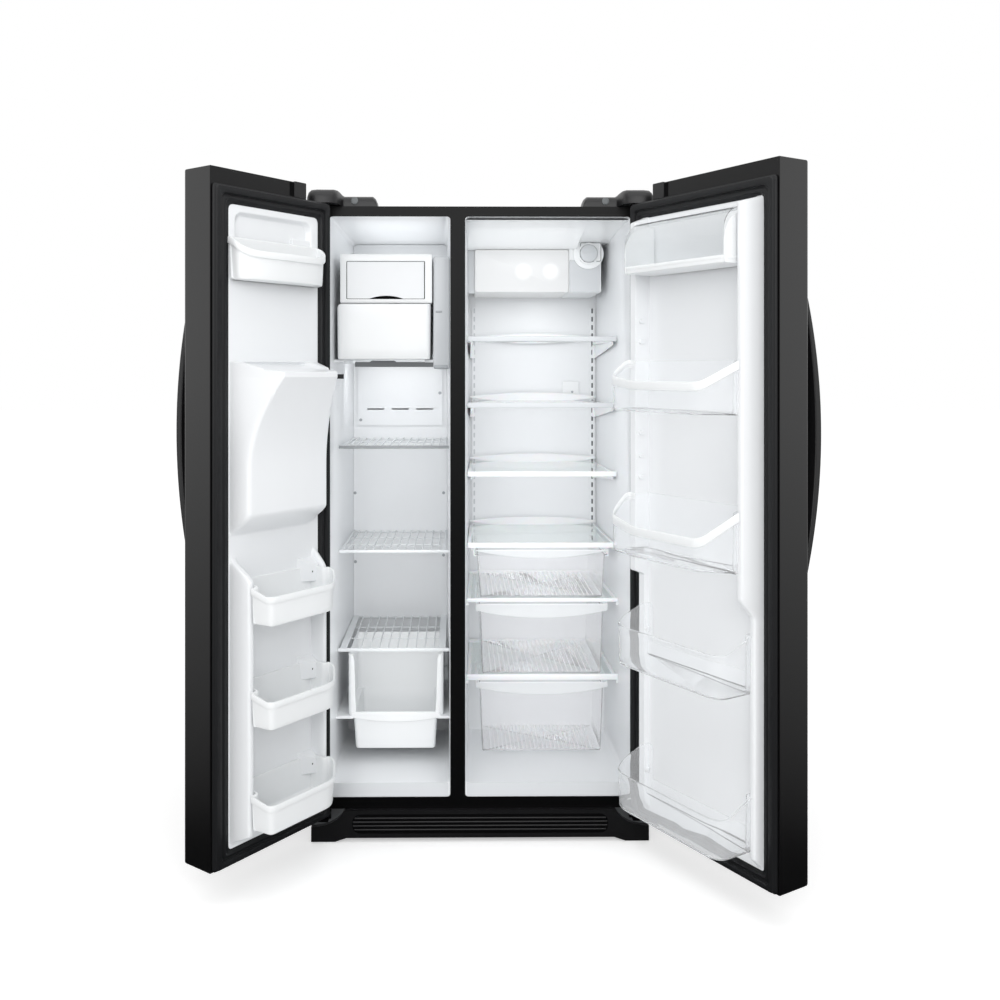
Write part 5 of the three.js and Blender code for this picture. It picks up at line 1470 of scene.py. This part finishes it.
def crisper_shelf(name, node, low, high, carried, rail_y):
    front = CRISPER_FRONT
    trim = rounded(
        [(front, low), (front + 12, low), (front + 12, high - 3), (front + 4, high), (front, high - 3)], 2, 3,
    )
    parts = [slab(trim, between(front, 0.6), lay_x)]
    rear = rounded(rectangle((CRISPER_BACK - 12, CRISPER_BACK), (low, low + 14)), 2, 3)
    parts.append(slab(rear, between(CRISPER_BACK, 0.6), lay_x))
    parts += [side_bar(side, (front + 4, CRISPER_BACK), 0.6, 12, (low, low + 7)) for side in (0, 1)]
    parts += drawer_rails(CRISPER_X, rail_y, carried, low + 1)
    cabinet_piece(name + "_frame", together(*parts), frosted_styrene, node, edge=0.9)
    pane = plank((front + 8, CRISPER_BACK - 8), 7, (low + 3, low + 7.5))
    cabinet_piece(name + "_glass", pane, tempered_glass, edge=0.6)


crisper_shelf("upper_crisper_shelf", "crisper_shelf_upper", 596.5, 608, 574.2, (202, 560))
crisper_shelf("lower_crisper_shelf", "crisper_shelf_lower", 372, 389, 349.7, (202, 412))
drawer("upper_crisper", "crisper_upper", CRISPER_X, (186, 560), 390, 577.5, (592.5, 574, 553), 22)
drawer("lower_crisper", "crisper_lower", CRISPER_X, (186, 412), 167, 353, (368, 354, 333), 26)

# %% [markdown]
# ## The lamp shield, controls and water filter
#
# A milky panel spreads the light of two lamps. Right of it the end of the water filter shows, a
# knob that turns, over a plain grey plate.

# %% Lamp shield
SHIELD_X, SHIELD_Z = (-8, 277), (1501, 1631)
shield_outline = rounded(rectangle(SHIELD_X, SHIELD_Z), 7)
shield_rings = [
    [(a, y, b) for a, b in inset(shield_outline, by)]
    for y, by in ((590, 0), (355, 0), (351, 1.2), (350, 4))
]
cabinet_piece("lamp_shield", skin(shield_rings), milky_glow, crease=math.radians(50))

# %% Control housing
CONTROL_X, CEILING, ROOF_SPLIT = (278, 376), 1671.3, 300
COVE_FRONT, COVE_BACK = 18, 591
FILTER_X, FILTER_Z = 336.6, 1618


def cove(x_at, end, low, steps=10):
    """A part of the roof that curves down from the ceiling to a height at the shield."""
    rings = []
    depths = [mix(COVE_FRONT, end, i / steps) for i in range(steps + 1)]
    heights = [mix(CEILING - 0.1, low, (i / steps) ** 2) for i in range(steps + 1)]
    for y, z in [*zip(depths, heights), (COVE_BACK, low)]:
        left, right = x_at(y)
        rings.append([(left, y, z), (right, y, z), (right, y, CEILING), (left, y, CEILING)])
    return skin(rings)


housing = slab(rounded(rectangle(CONTROL_X, (1501, 1651)), 6, 4), (358, COVE_BACK), lay_y)
left_cove = cove(lambda y: (between(y, 0.4)[0], ROOF_SPLIT), 352, 1632)
right_cove = cove(lambda y: (ROOF_SPLIT, between(y, 0.4)[1]), 356, 1651)
boss = slab(rounded([(FILTER_X + a, FILTER_Z + b) for a, b in disc(46, 32)], 1, 1), (347, 360), lay_y)
cabinet_piece(
    "control_housing_moulded", together(housing, left_cove, right_cove, boss), white_abs, "control_housing",
    edge=1.5,
)
plate = slab(rounded(rectangle((280, 372), (1502, 1600)), 3, 3), (355, 359), lay_y)
cabinet_piece("control_plate", plate, pale_grey_and_shade, edge=0.8)
recess = rounded(rectangle((311, 375), (1594, 1652)), 6, 4)
# The grey rim round the knob's recess is painted shade.
cabinet_piece("filter_recess_shade_edge", slab(recess, (345.6, 347.2), lay_y), painted_shade_mid_grey)
# A pale grey plate fills the gap left of the lamp shield: painted shade for the gap.
gap_shade_plate = bar((between(382, 0.6)[0], -8.6), (380, 384), (1500, 1634))
cabinet_piece("shield_gap_shade_plate", gap_shade_plate, pale_grey_and_shade)
cabinet_piece("filter_recess", slab(inset(recess, 2.2), (344.8, 346), lay_y), white_abs)

# %% Water filter


def turned(profile, x, z, around=False):
    """A round shape about a line that runs back, from pairs of a depth and a radius."""
    return skin([[(x + a, y, z + b) for a, b in disc(radius, 40)] for y, radius in profile], around)


knob = turned(
    [(560, 23), (346, 23), (344, 26.2), (337, 26.7), (334.5, 25.8), (333.2, 23), (333.2, 8)], FILTER_X,
    FILTER_Z,
)
grip = slab(
    rounded(rectangle((FILTER_X - 20, FILTER_X + 20), (FILTER_Z - 3, FILTER_Z + 3)), 3, 3), (332.2, 334),
    lay_y,
)
piece(
    "water_filter_knob", together(knob, grip), in_cabinet, pale_grey_and_shade, "water_filter", "water_filter",
    edge=1,
)
collar = [(350, 31), (341, 33), (339, 32), (339, 28.2), (350, 28.2)]
cabinet_piece("filter_collar", turned(collar, FILTER_X, FILTER_Z, around=True), white_abs)

# %% [markdown]
# ## Shelf tracks
#
# Two channels run down the back wall, with a row of slots every 27 mm. The hooks of the brackets go
# in there. The slots are small grey plates on the channel's face, painted shade for the openings;
# the right row is darker than the left, as painted shade.

# %% Track slots
PITCH, SLOT_TOP, SLOT_ROWS, TRACK_FACE = 27.1, 1459, 28, 592
# Both rows of slot plates are painted shade; the right row is darker, as painted shade by side.
for side, x, shade in (("left", TRACK_X[0], pale_grey_and_shade), ("right", TRACK_X[1], dark_grey_and_shade)):
    slots = [
        slab(
            rounded(rectangle((x - 2.6, x + 2.6), (z - 8, z + 8)), 2.2, 3),
            (TRACK_FACE - 0.5, TRACK_FACE + 1), lay_y,
        )
        for z in (SLOT_TOP - PITCH * i for i in range(SLOT_ROWS))
    ]
    cabinet_piece(f"track_slot_shades_{side}", together(*slots), shade)
sensor = slab(rounded(rectangle((282, 337), (1180, 1229)), 4, 4), (594, 601), lay_y)
cabinet_piece("sensor_cover", sensor, white_abs, edge=1.5)
cabinet_piece("sensor_screw", button(315, 594.2, 1194, 4), grey_abs)

# %% [markdown]
# ## Lamps inside
#
# Both compartments have their own lamps, which even out the light towards the back.

# %% Lamps of the compartments
# Name, place, the point it faces, size in metres and power in watts.
INSIDE_LAMPS = [
    ("shield_lamp", (140, 410, 1497), (150, 400, 700), (0.3, 0.1), 0.12),
    ("fresh_ceiling_fill", (180, 190, 1570), (180, 195, 1700), (0.34, 0.26), 0.07),
    ("freezer_lamp", (-240, 330, 1262), (-245, 600, 1150), (0.24, 0.1), 0.3),
    ("freezer_ceiling_fill", (-243, 310, 1590), (-243, 311, 1700), (0.26, 0.44), 0.26),
    ("freezer_fill", (-243, 22, 720), (-243, 600, 640), (0.3, 1.0), 0.5),
    ("fresh_food_fill", (183, 22, 980), (183, 600, 900), (0.42, 1.3), 0.6),
    ("fresh_wall_fill", (-30, 300, 1150), (400, 301, 1150), (0.45, 1.0), 0.55),
]
for name, at, aim, size, power in INSIDE_LAMPS:
    soft_box(name, in_cabinet(*at), in_cabinet(*aim), size, power)
print("lamps inside", len(INSIDE_LAMPS))

# %% [markdown]
# A pale grey strip lies on the step at the foot of each opening: painted shade on the step.

# %% Sill shade strips
STEP_Y, STEP_Z = (3, 17), (116, 148)
step_foot, step_head = (STEP_Y[0], STEP_Z[0] + 1), (STEP_Y[1], STEP_Z[1])
step_face = [step_foot, step_head, *[(y - 0.9, z + 0.4) for y, z in (step_head, step_foot)]]
for name, room in (("freezer", FREEZER), ("fresh_food", FRESH)):
    left, right = walls(room, 10)
    cabinet_piece(name + "_sill_shade_strip", slab(step_face, (left + 5, right - 5), lay_x), pale_grey_and_shade)

# %% [markdown]
# ## Outside the compartments
#
# A rounded cover hides each top hinge: a low arm on the cabinet, held by a screw, and a tall dome
# over the pin. One row of outlines across the cover gives both.

# %% Hinge covers
ARM_TOP, DOME_TOP, COVER_FOOT, COVER_BACK = 1737, 1745.6, 1705.2, 69.5
UPRIGHT, LEAN = 0.42, 46


def cover_profile(side, across, front, top):
    """An outline from front to back, with a front that leans and rounds over into the top."""
    outline = [(front, COVER_FOOT), (front, mix(COVER_FOOT, top, UPRIGHT))]
    for i in range(1, 8):
        t = math.pi / 2 * i / 7
        outline.append(
            (front + LEAN * (1 - math.cos(t)), mix(COVER_FOOT, top, UPRIGHT + (1 - UPRIGHT) * math.sin(t)))
        )
    outline += [(COVER_BACK - 5, top), (COVER_BACK, top - 5), (COVER_BACK, COVER_FOOT)]
    return [(side * across, y, z) for y, z in outline]


for name, side in (("left", -1), ("right", 1)):
    stations = [
        (277.4, 3, 1712), (280, 3, 1722), (284, 3, 1731), (291, 3, ARM_TOP), (330, 3, ARM_TOP),
        (368, 3, ARM_TOP), (373, -6, 1739), (377, -34, 1742), (382, -52, 1744.5), (390, -60, DOME_TOP),
        (434, -61.5, DOME_TOP), (448, -60, 1744.4), (455, -54, 1740), (458.6, -46, 1732),
    ]
    cover = skin([cover_profile(side, *station) for station in stations])
    pin = skin(
        [[(side * (HINGE_ACROSS + a), -HINGE_OUT + b, z) for a, b in disc(6, 20)] for z in (1691.2, 1708)]
    )
    cabinet_piece(
        f"top_hinge_cover_{name}", together(cover, pin), black_abs, f"top_hinge_{name}",
        crease=math.radians(50),
    )
    head = button(side * 338, 3, 1720, 10, 3)
    cabinet_piece(f"hinge_cover_screw_{name}", head, dark_grey_and_shade)

# %% [markdown]
# The toe grille is one moulding. Its air openings lie in a long field with round ends, crossed
# by slats. A dark plate behind the slats is painted shade for the openings.

# %% Slats of the toe grille
FIELD_HALF, FIELD_Z, GRILLE_FRONT = 343, (24, 75), -12
SLATS = 4
field_height = FIELD_Z[1] - FIELD_Z[0]
field = rounded(rectangle((-FIELD_HALF, FIELD_HALF), FIELD_Z), field_height * 0.48)
# The dark field is painted shade behind the slats.
cabinet_piece("grille_opening_shade", slab(field, (GRILLE_FRONT - 0.4, GRILLE_FRONT + 1), lay_y), painted_shade_black)
slat_rows = []
for i in range(SLATS):
    middle = mix(*FIELD_Z, (i + 1) / (SLATS + 1))
    out = abs(2 * (middle - FIELD_Z[0]) / field_height - 1)
    half = FIELD_HALF - 22 * (1 - math.sqrt(1 - out * out)) - 2
    slat = [(-2.2, -2), (-0.2, -2.6), (-0.2, 2.6), (-2.2, 1)]
    section = rounded([(GRILLE_FRONT + y, middle + z) for y, z in slat], 1, 2)
    slat_rows.append(slab(section, (-half, half), lay_x))
cabinet_piece("grille_slats", together(*slat_rows), black_abs)

# %% [markdown]
# The other solids keep their shape. Their hard edges get the small rounding that moulds, folds and
# castings have, as a modifier, so the solid itself stays as it is.

# %% Softer edges for the solids that stay
ROUNDING = {
    "toe_grille": 1.6, "base_pan": 0.8, "machine_cover": 0.6, "front_foot_left": 1.5, "front_foot_right": 1.5,
    "rear_roller_left": 1.0, "rear_roller_right": 1.0, "bottom_hinge_left": 1.0, "bottom_hinge_right": 1.0,
    "cabinet_wrapper": 1.0, "compressor": 2.5, "dispenser_housing": 1.2, "dispenser_paddle": 1.5,
    "freezer_liner": 1.2, "fresh_food_liner": 1.2, "evaporator_cover": 1.5,
}
for name, width in ROUNDING.items():
    soften = nodes[name].modifiers.new("edge", "BEVEL")
    soften.width = width * MM
    soften.segments = 2
    soften.limit_method = "ANGLE"
    soften.angle_limit = math.radians(40)
    soften.harden_normals = True
print("softer edges on", len(ROUNDING), "solids")
